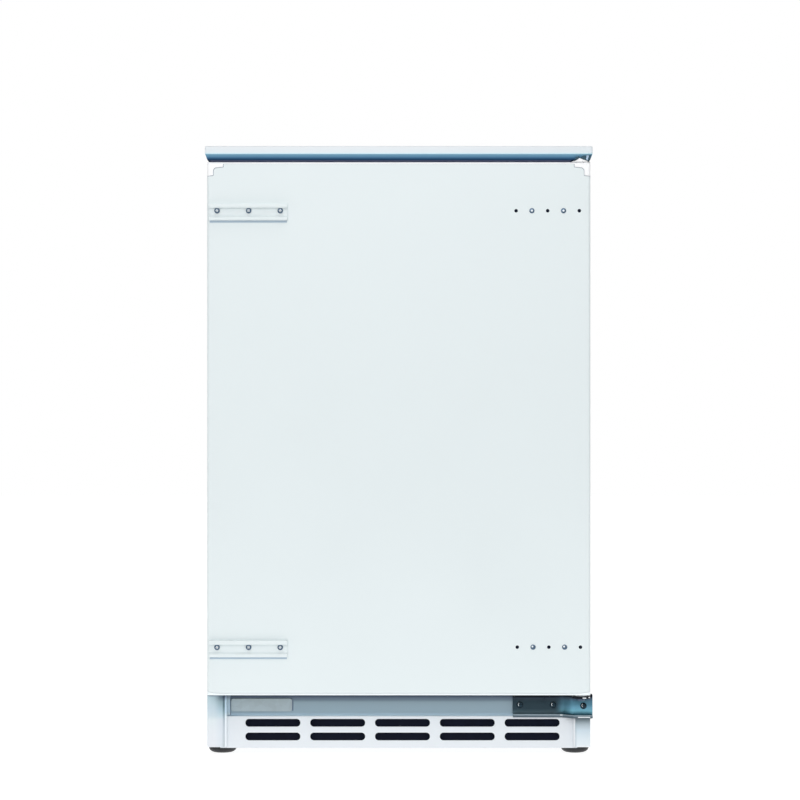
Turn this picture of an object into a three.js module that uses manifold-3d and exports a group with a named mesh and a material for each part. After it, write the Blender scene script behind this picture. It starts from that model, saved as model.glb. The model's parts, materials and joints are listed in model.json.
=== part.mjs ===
// Undercounter refrigerator: a built-in cabinet with a right-hinged door that carries a
// furniture panel on two slide rails, an ice box at the top and a compressor at the back.
// Millimetres. +X is to the right of a person facing the door, -Y points out through the
// door and +Z is up. The origin is on the floor, in the middle of the footprint.

import * as THREE from 'three';
import { mergeVertices } from 'three/addons/utils/BufferGeometryUtils.js';
import Module from 'manifold-3d';

const wasm = await Module();
wasm.setup();

// ---------------------------------------------------------------- driving dimensions

const GAP = 0.3;             // air between pieces that touch
const HALF_WIDTH = 270;      // of the housing
const BACK_Y = 250;          // rearmost point, the condenser strips
const RAIL_FRONT_Y = -250;   // foremost point, the slide rails on the door
const LIFT = 3.7;            // height of the cabinet's datum over the floor; the feet add it

const LID = {
  frontY: -245, backY: 222, topZ: 850, edgeZ: 839.1, undersideZ: 830.5,
  bevel: 4.6, sideBevel: 3.4, round: 2, skin: 4, rim: 14,
};
const RECESS = { front: 3, back: 4 };   // walls left around the lid's foam, front and back
const CABINET = {
  frontY: -189, backY: 220, bottomZ: 7, topZ: 830.2,
  sheet: 1, frontFlange: 21, rearFlange: 20,
};
const LINER = {
  halfWidth: 228, floorZ: 105, ceilingZ: 787, backY: 172, wall: 1.5,
  flangeHalfWidth: 248.7, flangeBottomZ: 85.3, flangeTopZ: 829.9, flangeThick: 1.7,
  stepY: 45, stepZ: 275,
};
const STEP = { frontY: -143.5, bottomZ: 60, riserY: 82, topZ: 240, halfWidth: 268.7 };
const DOOR = {
  halfWidth: 267, frontY: -243, backY: -198, bottomZ: 85.1, topZ: 827.7,
  sheet: 0.8, sideRound: 3.5, topRound: 3, topReturn: 10,
};
const TOP_LIP = { tall: 2.6 };   // the top cap's edge along the whole front
const LOBE = { acrossWide: 22.3, acrossTall: 7.4, downWide: 8.5, downTall: 18.4, fillet: 4, deep: 11 };
const BOTTOM_LIP = { height: 2.5, cornerRise: 2.7, cornerLength: 20, thick: 2 };
const DIKE = { halfWidth: 220, bottomZ: 110, topZ: 783, wide: 18, innerY: -175, wall: 1.5 };
const DOOR_BORDER = { halfWidth: 264, bottomZ: 91, topZ: 823 };
const GASKET = { halfWidth: 250, bottomZ: 92, topZ: 806, wide: 12.5 };
const HINGE = { x: 255, y: -222, pinRadius: 3, bushRadius: 5, bore: 3.4 };
const BRACKET = {
  fromX: 161, stepX: 232, flushX: 248, toX: 273, bottomZ: 50, topZ: 81.8, sheet: 2.5,
  footDeep: 8, wrapDeep: 13.3, armTall: 3, armRadius: 13,
};
const PIN = { lowerFrom: 75.5, lowerTo: 96.5, collarRadius: 5, upperFrom: 811, upperTo: 830 };
const UPPER_BRACKET = { sheet: 2, armRadius: 12, legInnerX: 252, legBottomZ: 780 };
const COVER = {
  fromX: 241, peakX: 252, toX: 264, frontY: -243.6, lipThick: 1.1, baseTall: 2, lipTall: 5.2,
};
const BUSH = {
  lowerFrom: 82.1, lowerTo: 98, flangeRadius: 8, flangeTall: 2.7, upperFrom: 809, upperShort: 0.1,
};
const BLANKING = { fromX: -237, toX: -151, bottomZ: 56, topZ: 74, thick: 2, cornerRadius: 3 };
const RAIL = {
  fromX: -264.4, toX: -155.4, heights: [152.1, 759.9], above: 9.7, below: 13.7,
  upperLip: 5.5, lowerLip: 4.5, floorY: -245,
};
const RAIL_SCREW = { xs: [-253, -209, -165], headRadius: 3.9, headTall: 2.6, shankRadius: 1.9 };
const CROSSRAIL = { frontY: -173, bottomZ: 50, topZ: 84.5, sheet: 1.5, topDeep: 28.8, bottomDeep: 43 };
const KICK = {
  halfWidth: 252, frontY: -181, thick: 2, bottomZ: 5.1, topZ: 49.7, returnDeep: 6,
  slotWide: 77.5, slotTall: 10.9, slotRadius: 5.2, slotPitch: 91.5, slotShift: 5.2,
  slotsInRow: 5, rows: [21.2, 40.5],
};
const FOOT = {
  x: 250, ys: [-152, 195], radius: 19.6, flatRadius: 10, padTall: 9.5, neckRadius: 7,
  neckTall: 5, stemRadius: 4, stemTopZ: 76, hole: 4.5,
};
const TRAY = { frontY: 84, backY: 218, z: 28, sheet: 1.5, lip: 12, halfWidth: 268.5 };
const COMPRESSOR = {
  x: 60, y: 158, radius: 66, seamZ: 116, domeTopZ: 187, plateZ: 36, plateThick: 2.5,
  plateHalfX: 85, plateHalfY: 57, plateRound: 12, stubReach: 74, suctionStub: 5, dischargeStub: 4,
};
const RELAY = { halfY: 27, capHalfY: 20, middleZ: 101, deep: 26, capDeep: 36, round: 5 };
const DRIP_TRAY = { halfX: 78, frontHalfY: 60, backHalfY: 58, tall: 22, wall: 2, round: 14 };
const GLAND = { x: 215, z: 262, bore: 4.5, radius: 11, long: 7 };
const DRIER = { x: -190, y: 165, bottomZ: 75, topZ: 188, radius: 8 };
const CONDENSER = {
  y: 243, tubeRadius: 2.5, runs: 10, topZ: 788, pitch: 52, halfRun: 200, riserX: -232,
  stripX: 150, stripWide: 10, stripFrontY: 236, inletZ: 200, standOffTall: 14,
};
const ICE_BOX = {
  halfWidth: 214, bottomZ: 652, topZ: 786.5, frontY: -38, backY: 165, sheet: 2, round: 12,
  frameHalfWidth: 222, frameRound: 8,
};
const FLAP = {
  halfWidth: 203, bottomZ: 661, topZ: 769, frontY: -53, thick: 6, round: 3, axisY: -50, axisZ: 765,
  pivotRadius: 2, pivotReach: 5, gripHalfWidth: 45,
};
const SHELF = { halfWidth: 225, frontY: -88, backY: 166, thick: 4, heights: [279, 384, 500] };
const SHELF_RIB = { wide: 7, tall: 7.7, frontY: -78 };
const CONTROL = {
  innerX: 188, frontY: -60, backY: 90, bottomZ: 592, topZ: 646, round: 6, knobY: -28, stemHole: 4.5,
  lampY: 46, lampHalfY: 40, lampDeep: 16,
};
const CRISPER = {
  halfWidth: 212, frontY: -85, backY: 40, bottomZ: 106, topZ: 262, wall: 2.5, round: 12,
  gripHalfWidth: 60,
};
const RACK = { halfWidth: 201.7, backY: -197.7, wall: 2.5, cornerRadius: 14, backTall: 15 };
const BOTTLE_RACK = { bottomZ: 128.3, tall: 80, innerY: -109 };
const RETAINER = {
  halfWidth: 20, thick: 1.5, clear: 0.4, legTall: 16, bridgeTall: 2.5, prongWide: 2.5, prongLong: 54,
};
const DOOR_RACKS = { bottoms: [410, 590], tall: 48, innerY: -110 };
const SWITCH = { x: 200, z: 820, radius: 3, hole: 3.4, tipY: -197.6, rearY: -165 };

// --------------------------------------------------------------------------- shapes

const X = new THREE.Vector3(1, 0, 0);
const Y = new THREE.Vector3(0, 1, 0);
const Z = new THREE.Vector3(0, 0, 1);

// A closed three.js geometry as a solid that can be joined and cut.
function solid(shape) {
  if (!shape.isBufferGeometry) return shape;
  shape.deleteAttribute('normal');
  shape.deleteAttribute('uv');
  const merged = mergeVertices(shape, 1e-4);
  return new wasm.Manifold(new wasm.Mesh({
    numProp: 3,
    vertProperties: merged.attributes.position.array,
    triVerts: Uint32Array.from(merged.index.array),
  }));
}

function join(...shapes) {
  return shapes.map(solid).reduce((all, next) => all.add(next));
}

function cut(shape, ...tools) {
  return tools.map(solid).reduce((rest, tool) => rest.subtract(tool), solid(shape));
}

function common(...shapes) {
  return shapes.map(solid).reduce((both, next) => both.intersect(next));
}

function box(x0, x1, y0, y1, z0, z1) {
  const geometry = new THREE.BoxGeometry(x1 - x0, y1 - y0, z1 - z0);
  return geometry.translate((x0 + x1) / 2, (y0 + y1) / 2, (z0 + z1) / 2);
}

// An outline through straight corners.
function outline(points) {
  return new THREE.Shape(points.map(([a, b]) => new THREE.Vector2(a, b)));
}

function roundedOutline(a0, a1, b0, b1, radius) {
  const shape = new THREE.Shape();
  const quarter = Math.PI / 2;
  shape.absarc(a1 - radius, b1 - radius, radius, 0, quarter);
  shape.absarc(a0 + radius, b1 - radius, radius, quarter, 2 * quarter);
  shape.absarc(a0 + radius, b0 + radius, radius, 2 * quarter, 3 * quarter);
  shape.absarc(a1 - radius, b0 + radius, radius, 3 * quarter, 4 * quarter);
  return shape;
}

// An outline run along one axis. It lies in (y, z) for 'x', (x, z) for 'y', (x, y) for 'z'.
// An arc gets two straight steps for each curve segment.
function prism(shape, axis, from, to, curveSegments = 2) {
  const options = { depth: to - from, bevelEnabled: false, curveSegments };
  const geometry = new THREE.ExtrudeGeometry(shape, options);
  if (axis === 'x') {
    return geometry.applyMatrix4(new THREE.Matrix4().makeBasis(Y, Z, X)).translate(from, 0, 0);
  }
  if (axis === 'y') {
    const turn = new THREE.Matrix4().makeBasis(X, Z, Y.clone().negate());
    return geometry.applyMatrix4(turn).translate(0, to, 0);
  }
  return geometry.translate(0, 0, from);
}

// A cylinder along one axis through the point (a, b) of the other two, in prism's order.
function rod(axis, a, b, radius, from, to, sides = 12) {
  const circle = new THREE.Shape();
  circle.absarc(a, b, radius, 0, 2 * Math.PI);
  return prism(circle, axis, from, to, sides / 2);
}

// A turned piece around a vertical axis. Its profile goes up the outside as (radius, z).
function turned(profile, sides = 24) {
  const points = profile.map(([radius, z]) => new THREE.Vector2(radius, z));
  return new THREE.LatheGeometry(points, sides).rotateX(Math.PI / 2);
}

function ring(inner, outer, z0, z1, sides = 24) {
  return turned([[inner, z0], [outer, z0], [outer, z1], [inner, z1], [inner, z0]], sides);
}

function tube(points, radius, steps, sides = 8) {
  const path = new THREE.CatmullRomCurve3(points.map((p) => new THREE.Vector3(...p)));
  const section = new THREE.Shape();
  section.absarc(0, 0, radius, 0, 2 * Math.PI);
  const options = { steps, extrudePath: path, curveSegments: sides / 2 };
  return new THREE.ExtrudeGeometry(section, options);
}

// The half turn between two runs of pipe that lie one above the other in a plane of equal y.
function pipeBend(x, y, z, bendRadius, pipeRadius, side) {
  const middle = new THREE.Vector3(x + side * bendRadius * 4 / 3, y, z);
  const path = new THREE.CubicBezierCurve3(
    new THREE.Vector3(x, y, z + bendRadius),
    new THREE.Vector3(middle.x, y, z + bendRadius),
    new THREE.Vector3(middle.x, y, z - bendRadius),
    new THREE.Vector3(x, y, z - bendRadius),
  );
  const section = new THREE.Shape();
  section.absarc(0, 0, pipeRadius, 0, 2 * Math.PI);
  return new THREE.ExtrudeGeometry(section, { steps: 5, extrudePath: path, curveSegments: 3 });
}

// -------------------------------------------------------------------------- materials

const finish = {
  coatedSteel: () => new THREE.MeshStandardMaterial({ color: 0xe6eff0, roughness: 0.32, metalness: 0 }),
  whitePlastic: () => new THREE.MeshStandardMaterial({ color: 0xe9f0f1, roughness: 0.4 }),
  linerPlastic: () => new THREE.MeshStandardMaterial({ color: 0xf0f3f3, roughness: 0.45 }),
  galvanised: () => new THREE.MeshStandardMaterial({ color: 0x9fb0b8, roughness: 0.45, metalness: 0.8 }),
  zinc: () => new THREE.MeshStandardMaterial({ color: 0x6b7684, roughness: 0.35, metalness: 0.9 }),
  screwSteel: () => new THREE.MeshStandardMaterial({ color: 0xb9c3cb, roughness: 0.3, metalness: 1 }),
  foam: () => new THREE.MeshStandardMaterial({ color: 0xe7d9a8, roughness: 0.95 }),
  rubber: () => new THREE.MeshStandardMaterial({ color: 0xd9dee0, roughness: 0.8 }),
  blackPlastic: () => new THREE.MeshStandardMaterial({ color: 0x2b2d31, roughness: 0.55 }),
  blackPaint: () => new THREE.MeshStandardMaterial({ color: 0x1b1c1e, roughness: 0.4 }),
  aluminium: () => new THREE.MeshStandardMaterial({ color: 0xd4d8da, roughness: 0.35, metalness: 1 }),
  copper: () => new THREE.MeshStandardMaterial({ color: 0xb8714a, roughness: 0.35, metalness: 1 }),
  clearPlastic: () => new THREE.MeshStandardMaterial({ color: 0xdfe9ee, roughness: 0.12 }),
  glass: () => new THREE.MeshStandardMaterial({ color: 0xcfe3dc, roughness: 0.05 }),
};

// A named piece. A solid from a boolean is turned back into a geometry first.
function piece(name, shape, material, parent) {
  let geometry = shape;
  if (!shape.isBufferGeometry) {
    const result = shape.getMesh();
    geometry = new THREE.BufferGeometry();
    geometry.setAttribute('position', new THREE.BufferAttribute(result.vertProperties, 3));
    geometry.setIndex(new THREE.BufferAttribute(result.triVerts, 1));
  }
  const mesh = new THREE.Mesh(geometry, material());
  mesh.name = name;
  parent.add(mesh);
  return mesh;
}

// ---------------------------------------------------------------------- outer housing

// A moulded top with a bevelled underside edge. Foam fills the recess below its skin.
function lid() {
  const { frontY, backY, topZ, edgeZ, undersideZ, bevel, sideBevel, round, skin, rim } = LID;
  const across = new THREE.Shape();
  across.moveTo(-(HALF_WIDTH - sideBevel), undersideZ);
  across.lineTo(HALF_WIDTH - sideBevel, undersideZ);
  across.lineTo(HALF_WIDTH, edgeZ);
  across.absarc(HALF_WIDTH - round, topZ - round, round, 0, Math.PI / 2);
  across.absarc(-(HALF_WIDTH - round), topZ - round, round, Math.PI / 2, Math.PI);
  across.lineTo(-HALF_WIDTH, edgeZ);
  const along = new THREE.Shape();
  along.moveTo(frontY + bevel, undersideZ);
  along.lineTo(backY, undersideZ);
  along.lineTo(backY, topZ);
  along.absarc(frontY + round, topZ - round, round, Math.PI / 2, Math.PI);
  along.lineTo(frontY, edgeZ);
  const block = common(
    prism(across, 'y', frontY - 1, backY + 1),
    prism(along, 'x', -HALF_WIDTH - 1, HALF_WIDTH + 1),
  );
  const recess = box(
    -(HALF_WIDTH - rim), HALF_WIDTH - rim,
    CABINET.frontY + RECESS.front, CABINET.backY - RECESS.back, undersideZ - 1, topZ - skin,
  );
  return cut(block, recess);
}

// A folded sheet with a flange turned in at the front and one at the back.
function sidePanel(side) {
  const { frontY, backY, bottomZ, topZ, sheet, frontFlange, rearFlange } = CABINET;
  const section = outline([
    [HALF_WIDTH, frontY],
    [HALF_WIDTH, backY],
    [HALF_WIDTH - rearFlange, backY],
    [HALF_WIDTH - rearFlange, backY - sheet],
    [HALF_WIDTH - sheet, backY - sheet],
    [HALF_WIDTH - sheet, frontY + sheet],
    [HALF_WIDTH - frontFlange, frontY + sheet],
    [HALF_WIDTH - frontFlange, frontY],
  ].map(([x, y]) => [side * x, y]));
  return prism(section, 'z', bottomZ, topZ);
}

function backPanel() {
  const halfWidth = HALF_WIDTH - CABINET.rearFlange - GAP;
  return box(
    -halfWidth, halfWidth, CABINET.backY - CABINET.sheet, CABINET.backY,
    STEP.topZ - 4, CABINET.topZ - GAP,
  );
}

// The bottom sheet, which rises at the back and turns over the machine compartment.
function stepPanel() {
  const { frontY, bottomZ, riserY, topZ, halfWidth } = STEP;
  const backY = CABINET.backY - CABINET.sheet - GAP;
  const t = CABINET.sheet;
  const section = outline([
    [frontY, bottomZ], [riserY + t, bottomZ], [riserY + t, topZ], [backY, topZ],
    [backY, topZ + t], [riserY, topZ + t], [riserY, bottomZ + t], [frontY, bottomZ + t],
  ]);
  return prism(section, 'x', -halfWidth, halfWidth);
}

// The space inside the liner, grown by a margin, in (y, z). Its back steps over the compressor.
function cavityOutline(margin, mouthY) {
  const { floorZ, ceilingZ, backY, stepY, stepZ } = LINER;
  return outline([
    [mouthY, floorZ - margin],
    [stepY + margin, floorZ - margin],
    [stepY + margin, stepZ - margin],
    [backY + margin, stepZ - margin],
    [backY + margin, ceilingZ + margin],
    [mouthY, ceilingZ + margin],
  ]);
}

function innerLiner() {
  const { halfWidth, wall, flangeHalfWidth, flangeBottomZ, flangeTopZ, flangeThick } = LINER;
  const { frontY } = CABINET;
  const shell = prism(cavityOutline(wall, frontY + 1), 'x', -halfWidth - wall, halfWidth + wall);
  const flange = box(
    -flangeHalfWidth, flangeHalfWidth, frontY, frontY + flangeThick, flangeBottomZ, flangeTopZ,
  );
  const space = prism(cavityOutline(0, frontY - 1), 'x', -halfWidth, halfWidth);
  const switchHole = rod('y', SWITCH.x, SWITCH.z, SWITCH.hole, frontY - 1, frontY + 4, 8);
  let liner = cut(join(shell, flange), space, switchHole);
  for (const shelfZ of SHELF.heights) {
    const backY = shelfZ < LINER.stepZ + 10 ? LINER.stepY - 1 : SHELF.backY - 6;
    for (const side of [-1, 1]) {
      const [x0, x1] = [side * (halfWidth - SHELF_RIB.wide), side * (halfWidth + wall / 2)];
      const top = shelfZ - GAP;
      const rib = box(
        Math.min(x0, x1), Math.max(x0, x1), SHELF_RIB.frontY, backY, top - SHELF_RIB.tall, top,
      );
      liner = join(liner, rib);
    }
  }
  return liner;
}

// Foam fills everything between the liner and the sheets around it.
function foamInsulation() {
  const side = HALF_WIDTH - CABINET.sheet - GAP;
  const frontY = CABINET.frontY + 2;
  const backY = CABINET.backY - CABINET.sheet - GAP;
  const railTop = CROSSRAIL.topZ + 2.4;
  const railBack = STEP.frontY - 0.2;
  const floorZ = STEP.bottomZ + CABINET.sheet + GAP;
  const stepTopZ = STEP.topZ + CABINET.sheet + GAP;
  const topZ = CABINET.topZ - GAP;
  const body = prism(outline([
    [frontY, railTop], [railBack, railTop], [railBack, floorZ], [STEP.riserY - GAP, floorZ],
    [STEP.riserY - GAP, stepTopZ], [backY, stepTopZ], [backY, topZ], [frontY, topZ],
  ]), 'x', -side, side);
  const inLid = HALF_WIDTH - LID.rim - GAP;
  const lidFill = box(
    -inLid, inLid, CABINET.frontY + RECESS.front + GAP, CABINET.backY - RECESS.back - GAP,
    topZ - 5, LID.topZ - LID.skin - GAP,
  );
  const margin = LINER.wall + GAP;
  const hollow = prism(
    cavityOutline(margin, frontY - 1), 'x', -LINER.halfWidth - margin, LINER.halfWidth + margin,
  );
  const switchPocket = rod('y', SWITCH.x, SWITCH.z, 5, frontY - 1, SWITCH.rearY + 10, 8);
  return cut(join(body, lidFill), hollow, switchPocket);
}

// ---------------------------------------------------------------------------- plinth

function footHole(x, y, z0, z1) {
  return rod('z', x, y, FOOT.hole, z0, z1, 8);
}

function crossrail() {
  const { frontY, bottomZ, topZ, sheet, topDeep, bottomDeep } = CROSSRAIL;
  const section = outline([
    [frontY, bottomZ], [frontY + bottomDeep, bottomZ], [frontY + bottomDeep, bottomZ + sheet],
    [frontY + sheet, bottomZ + sheet], [frontY + sheet, topZ - sheet],
    [frontY + topDeep, topZ - sheet], [frontY + topDeep, topZ], [frontY, topZ],
  ]);
  const halfLength = HALF_WIDTH - CABINET.sheet - 0.5;
  const holes = [-1, 1].map((side) => footHole(side * FOOT.x, FOOT.ys[0], bottomZ - 1, bottomZ + 3));
  return cut(prism(section, 'x', -halfLength, halfLength), ...holes);
}

// The air grille in the plinth: two rows of rounded slots and a short return at each end.
function kickPlate() {
  const { halfWidth, frontY, thick, bottomZ, topZ, returnDeep } = KICK;
  const { slotWide, slotTall, slotRadius, slotPitch, slotShift, slotsInRow } = KICK;
  const plate = box(-halfWidth, halfWidth, frontY, frontY + thick, bottomZ, topZ);
  const ends = [-1, 1].map((side) => {
    const middle = side * (halfWidth - thick / 2);
    return box(middle - thick / 2, middle + thick / 2, frontY, frontY + returnDeep, bottomZ, topZ);
  });
  const slots = [];
  for (const z of KICK.rows) {
    for (let i = 0; i < slotsInRow; i += 1) {
      const x = slotShift + (i - (slotsInRow - 1) / 2) * slotPitch;
      const hole = roundedOutline(
        x - slotWide / 2, x + slotWide / 2, z - slotTall / 2, z + slotTall / 2, slotRadius,
      );
      slots.push(prism(hole, 'y', frontY - 1, frontY + thick + 1));
    }
  }
  return cut(join(plate, ...ends), ...slots);
}

// A levelling foot: a domed pad with a flat middle, on a threaded stem.
function levelingFoot() {
  const { radius, flatRadius, padTall, neckRadius, neckTall, stemRadius, stemTopZ } = FOOT;
  return turned([
    [0, 0], [flatRadius, 0], [radius - 4, 1.6], [radius - 1.2, 4], [radius, 6.5],
    [radius, padTall - 0.4], [radius - 1, padTall], [neckRadius, padTall],
    [neckRadius, padTall + neckTall], [stemRadius, padTall + neckTall + 1],
    [stemRadius, stemTopZ - 1], [stemRadius - 1, stemTopZ], [0, stemTopZ],
  ], 16);
}

function baseTray() {
  const { frontY, backY, z, sheet, lip, halfWidth } = TRAY;
  const section = outline([
    [frontY, z], [backY, z], [backY, z + lip], [backY - sheet, z + lip],
    [backY - sheet, z + sheet], [frontY + sheet, z + sheet], [frontY + sheet, z + lip],
    [frontY, z + lip],
  ]);
  const holes = [-1, 1].map((side) => footHole(side * FOOT.x, FOOT.ys[1], z - 1, z + 4));
  return cut(prism(section, 'x', -halfWidth, halfWidth), ...holes);
}

// ------------------------------------------------------------------- machine compartment

const SUCTION_START = [COMPRESSOR.x - COMPRESSOR.stubReach, COMPRESSOR.y, 140];
const DISCHARGE_START = [COMPRESSOR.x - COMPRESSOR.stubReach, COMPRESSOR.y + 12, 82];

function compressor() {
  const { x, y, radius, seamZ, domeTopZ, plateZ, plateThick } = COMPRESSOR;
  const { plateHalfX, plateHalfY, plateRound, suctionStub, dischargeStub } = COMPRESSOR;
  const shell = turned([
    [0, plateZ + 1], [38, plateZ + 1], [56, plateZ + 9], [radius, plateZ + 30],
    [radius, seamZ - 3], [radius + 3, seamZ - 3], [radius + 3, seamZ + 3], [radius - 1, seamZ + 3],
    [radius - 4, seamZ + 32], [radius - 16, seamZ + 56], [radius - 38, domeTopZ - 3], [0, domeTopZ],
  ], 28).translate(x, y, 0);
  const plate = roundedOutline(
    x - plateHalfX, x + plateHalfX, y - plateHalfY, y + plateHalfY, plateRound,
  );
  const stubs = [[SUCTION_START, suctionStub], [DISCHARGE_START, dischargeStub]].map(
    ([[fromX, atY, atZ], stubRadius]) => rod('x', atY, atZ, stubRadius, fromX + GAP, x, 8),
  );
  return join(shell, prism(plate, 'z', plateZ, plateZ + plateThick), ...stubs);
}

function relayBox() {
  const { halfY, capHalfY, middleZ, deep, capDeep, round } = RELAY;
  const { y } = COMPRESSOR;
  const x = COMPRESSOR.x + COMPRESSOR.radius + 3;
  const body = roundedOutline(y - halfY, y + halfY, middleZ - halfY, middleZ + halfY, round);
  const cap = roundedOutline(
    y - capHalfY, y + capHalfY, middleZ - capHalfY, middleZ + capHalfY, round,
  );
  return join(prism(body, 'x', x, x + deep), prism(cap, 'x', x + deep - 1, x + capDeep));
}

// The pan over the compressor, where melt water dries off.
function dripTray() {
  const { x, y, domeTopZ } = COMPRESSOR;
  const { halfX, frontHalfY, backHalfY, tall, wall, round } = DRIP_TRAY;
  const z = domeTopZ + 1.5;
  const [outer, inner] = [0, wall].map((inset) => roundedOutline(
    x - halfX + inset, x + halfX - inset, y - frontHalfY + inset, y + backHalfY - inset,
    round - inset,
  ));
  return cut(prism(outer, 'z', z, z + tall), prism(inner, 'z', z + wall, z + tall + 1));
}

function filterDrier() {
  const { bottomZ, topZ, radius } = DRIER;
  return turned([
    [0, bottomZ], [2.5, bottomZ], [2.5, bottomZ + 9], [radius, bottomZ + 17],
    [radius, topZ - 18], [3.2, topZ - 8], [3.2, topZ], [0, topZ],
  ], 16);
}

// Pipe runs joined by half turns, two upright strips, and a stand-off at each strip's ends.
function condenser() {
  const { y, tubeRadius, runs, topZ, pitch, halfRun, riserX, inletZ } = CONDENSER;
  const { stripX, stripWide, stripFrontY, standOffTall } = CONDENSER;
  const parts = [];
  for (let i = 0; i < runs; i += 1) {
    parts.push(rod('x', y, topZ - i * pitch, tubeRadius, -halfRun, halfRun, 6));
    if (i < runs - 1) {
      const side = i % 2 === 0 ? 1 : -1;
      const middleZ = topZ - (i + 0.5) * pitch;
      parts.push(pipeBend(side * (halfRun - 0.2), y, middleZ, pitch / 2, tubeRadius, side));
    }
  }
  const bottomZ = topZ - (runs - 1) * pitch;
  parts.push(tube([
    [riserX, y, inletZ], [riserX, y, inletZ + 60], [riserX, y, topZ - 60],
    [riserX + 1, y, topZ - 20], [riserX + 12, y, topZ - 3], [-halfRun + 1, y, topZ],
  ], tubeRadius, 16, 6));
  parts.push(tube([
    [-halfRun + 1, y, bottomZ], [-halfRun - 10, y, bottomZ - 3], [-halfRun - 14, y, bottomZ - 20],
    [-halfRun - 12, y, 250], [DRIER.x - 8, DRIER.y + 40, 222], [DRIER.x, DRIER.y + 2, 208],
    [DRIER.x, DRIER.y, DRIER.topZ + GAP],
  ], tubeRadius, 18, 6));
  for (const side of [-1, 1]) {
    const x0 = side * stripX - stripWide / 2;
    const x1 = x0 + stripWide;
    parts.push(box(x0, x1, stripFrontY, BACK_Y, bottomZ - 30, topZ + 22));
    for (const z of [bottomZ - 30, topZ + 8]) {
      parts.push(box(x0, x1, CABINET.backY + GAP, stripFrontY + 1, z, z + standOffTall));
    }
  }
  return join(...parts);
}

function suctionPipe() {
  const [x, y, z] = SUCTION_START;
  return tube([
    [x, y, z], [x - 22, y, z], [x - 44, y + 6, z + 12], [x - 52, y + 14, z + 45],
    [x - 52, y + 16, STEP.topZ - 1],
  ], 4, 14);
}

function dischargePipe() {
  const [x, y, z] = DISCHARGE_START;
  return tube([
    [x, y, z], [x - 12, y, z], [x - 45, y + 10, z], [x - 130, y + 26, z + 8],
    [x - 195, y + 48, z + 45],
    [CONDENSER.riserX, CONDENSER.y, z + 88], [CONDENSER.riserX, CONDENSER.y, CONDENSER.inletZ - GAP],
  ], CONDENSER.tubeRadius, 20, 6);
}

// ---------------------------------------------------------------------------- interior

// The roll-bond evaporator, folded into a sleeve around the ice box.
function evaporator() {
  const { halfWidth, bottomZ, topZ, frontY, backY, sheet, round } = ICE_BOX;
  const section = roundedOutline(-halfWidth, halfWidth, bottomZ, topZ, round);
  section.holes.push(roundedOutline(
    -(halfWidth - sheet), halfWidth - sheet, bottomZ + sheet, topZ - sheet, round - sheet,
  ));
  return prism(section, 'y', frontY, backY);
}

function iceBoxFrame() {
  const { frameHalfWidth, frameRound, bottomZ, topZ, frontY } = ICE_BOX;
  const section = roundedOutline(-frameHalfWidth, frameHalfWidth, bottomZ - 5, topZ, frameRound);
  section.holes.push(roundedOutline(
    -(FLAP.halfWidth + 2), FLAP.halfWidth + 2, FLAP.bottomZ - 1, FLAP.topZ + 3, FLAP.round,
  ));
  const frame = prism(section, 'y', FLAP.frontY - 1, frontY - GAP, 1);
  const sockets = [-1, 1].map((side) => {
    const ends = [FLAP.halfWidth, FLAP.halfWidth + FLAP.pivotReach + 2].map((x) => side * x);
    return rod(
      'x', FLAP.axisY, FLAP.axisZ, FLAP.pivotRadius + 0.7, Math.min(...ends), Math.max(...ends), 6,
    );
  });
  return cut(frame, ...sockets);
}

function iceBoxFlap() {
  const { halfWidth, bottomZ, topZ, frontY, thick, round, axisY, axisZ } = FLAP;
  const { pivotRadius, pivotReach, gripHalfWidth } = FLAP;
  const panel = prism(
    roundedOutline(-halfWidth, halfWidth, bottomZ, topZ, round), 'y', frontY, frontY + thick, 1,
  );
  const grip = box(-gripHalfWidth, gripHalfWidth, frontY - 8, frontY + 1, bottomZ + 5, bottomZ + 9);
  const reach = halfWidth + pivotReach;
  return join(panel, grip, rod('x', axisY, axisZ, pivotRadius, -reach, reach, 6));
}

// The box on the right wall that holds the thermostat and the lamp.
function thermostatHousing() {
  const { innerX, frontY, backY, bottomZ, topZ, round, knobY, stemHole, lampY, lampHalfY } = CONTROL;
  const body = prism(
    roundedOutline(frontY, backY, bottomZ, topZ, round), 'x', innerX, LINER.halfWidth - GAP,
  );
  const lampSpace = box(
    innerX - 1, LINER.halfWidth - 6, lampY - lampHalfY + 4, lampY + lampHalfY - 4,
    bottomZ + 6, topZ - 6,
  );
  const stem = rod('x', knobY, (bottomZ + topZ) / 2, stemHole, innerX - 1, innerX + 12, 8);
  return cut(body, lampSpace, stem);
}

function lampCover() {
  const { innerX, bottomZ, topZ, lampY, lampHalfY } = CONTROL;
  const pane = roundedOutline(lampY - lampHalfY, lampY + lampHalfY, bottomZ + 3, topZ - 3, 5);
  return prism(pane, 'x', innerX - 4, innerX - GAP, 1);
}

// Profiles as (radius, height) around the bulb's and the knob's own middle.
function lampBulb() {
  return turned([
    [0, -26], [6, -26], [6, -10], [9, -4], [10.5, 6], [8, 16], [0, 20],
  ], 14).rotateX(-Math.PI / 2);
}

function thermostatKnob() {
  const grip = turned([
    [0, -8], [4, -8], [4, GAP], [17, GAP], [17, 6], [15.5, 8], [0, 8],
  ], 24);
  return join(grip, box(-2.5, 2.5, -14, 14, 7, 12));
}

function glassShelf(backY) {
  const { halfWidth, frontY, thick } = SHELF;
  return prism(roundedOutline(-halfWidth, halfWidth, frontY, backY, 6), 'z', 0, thick, 1);
}

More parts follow.
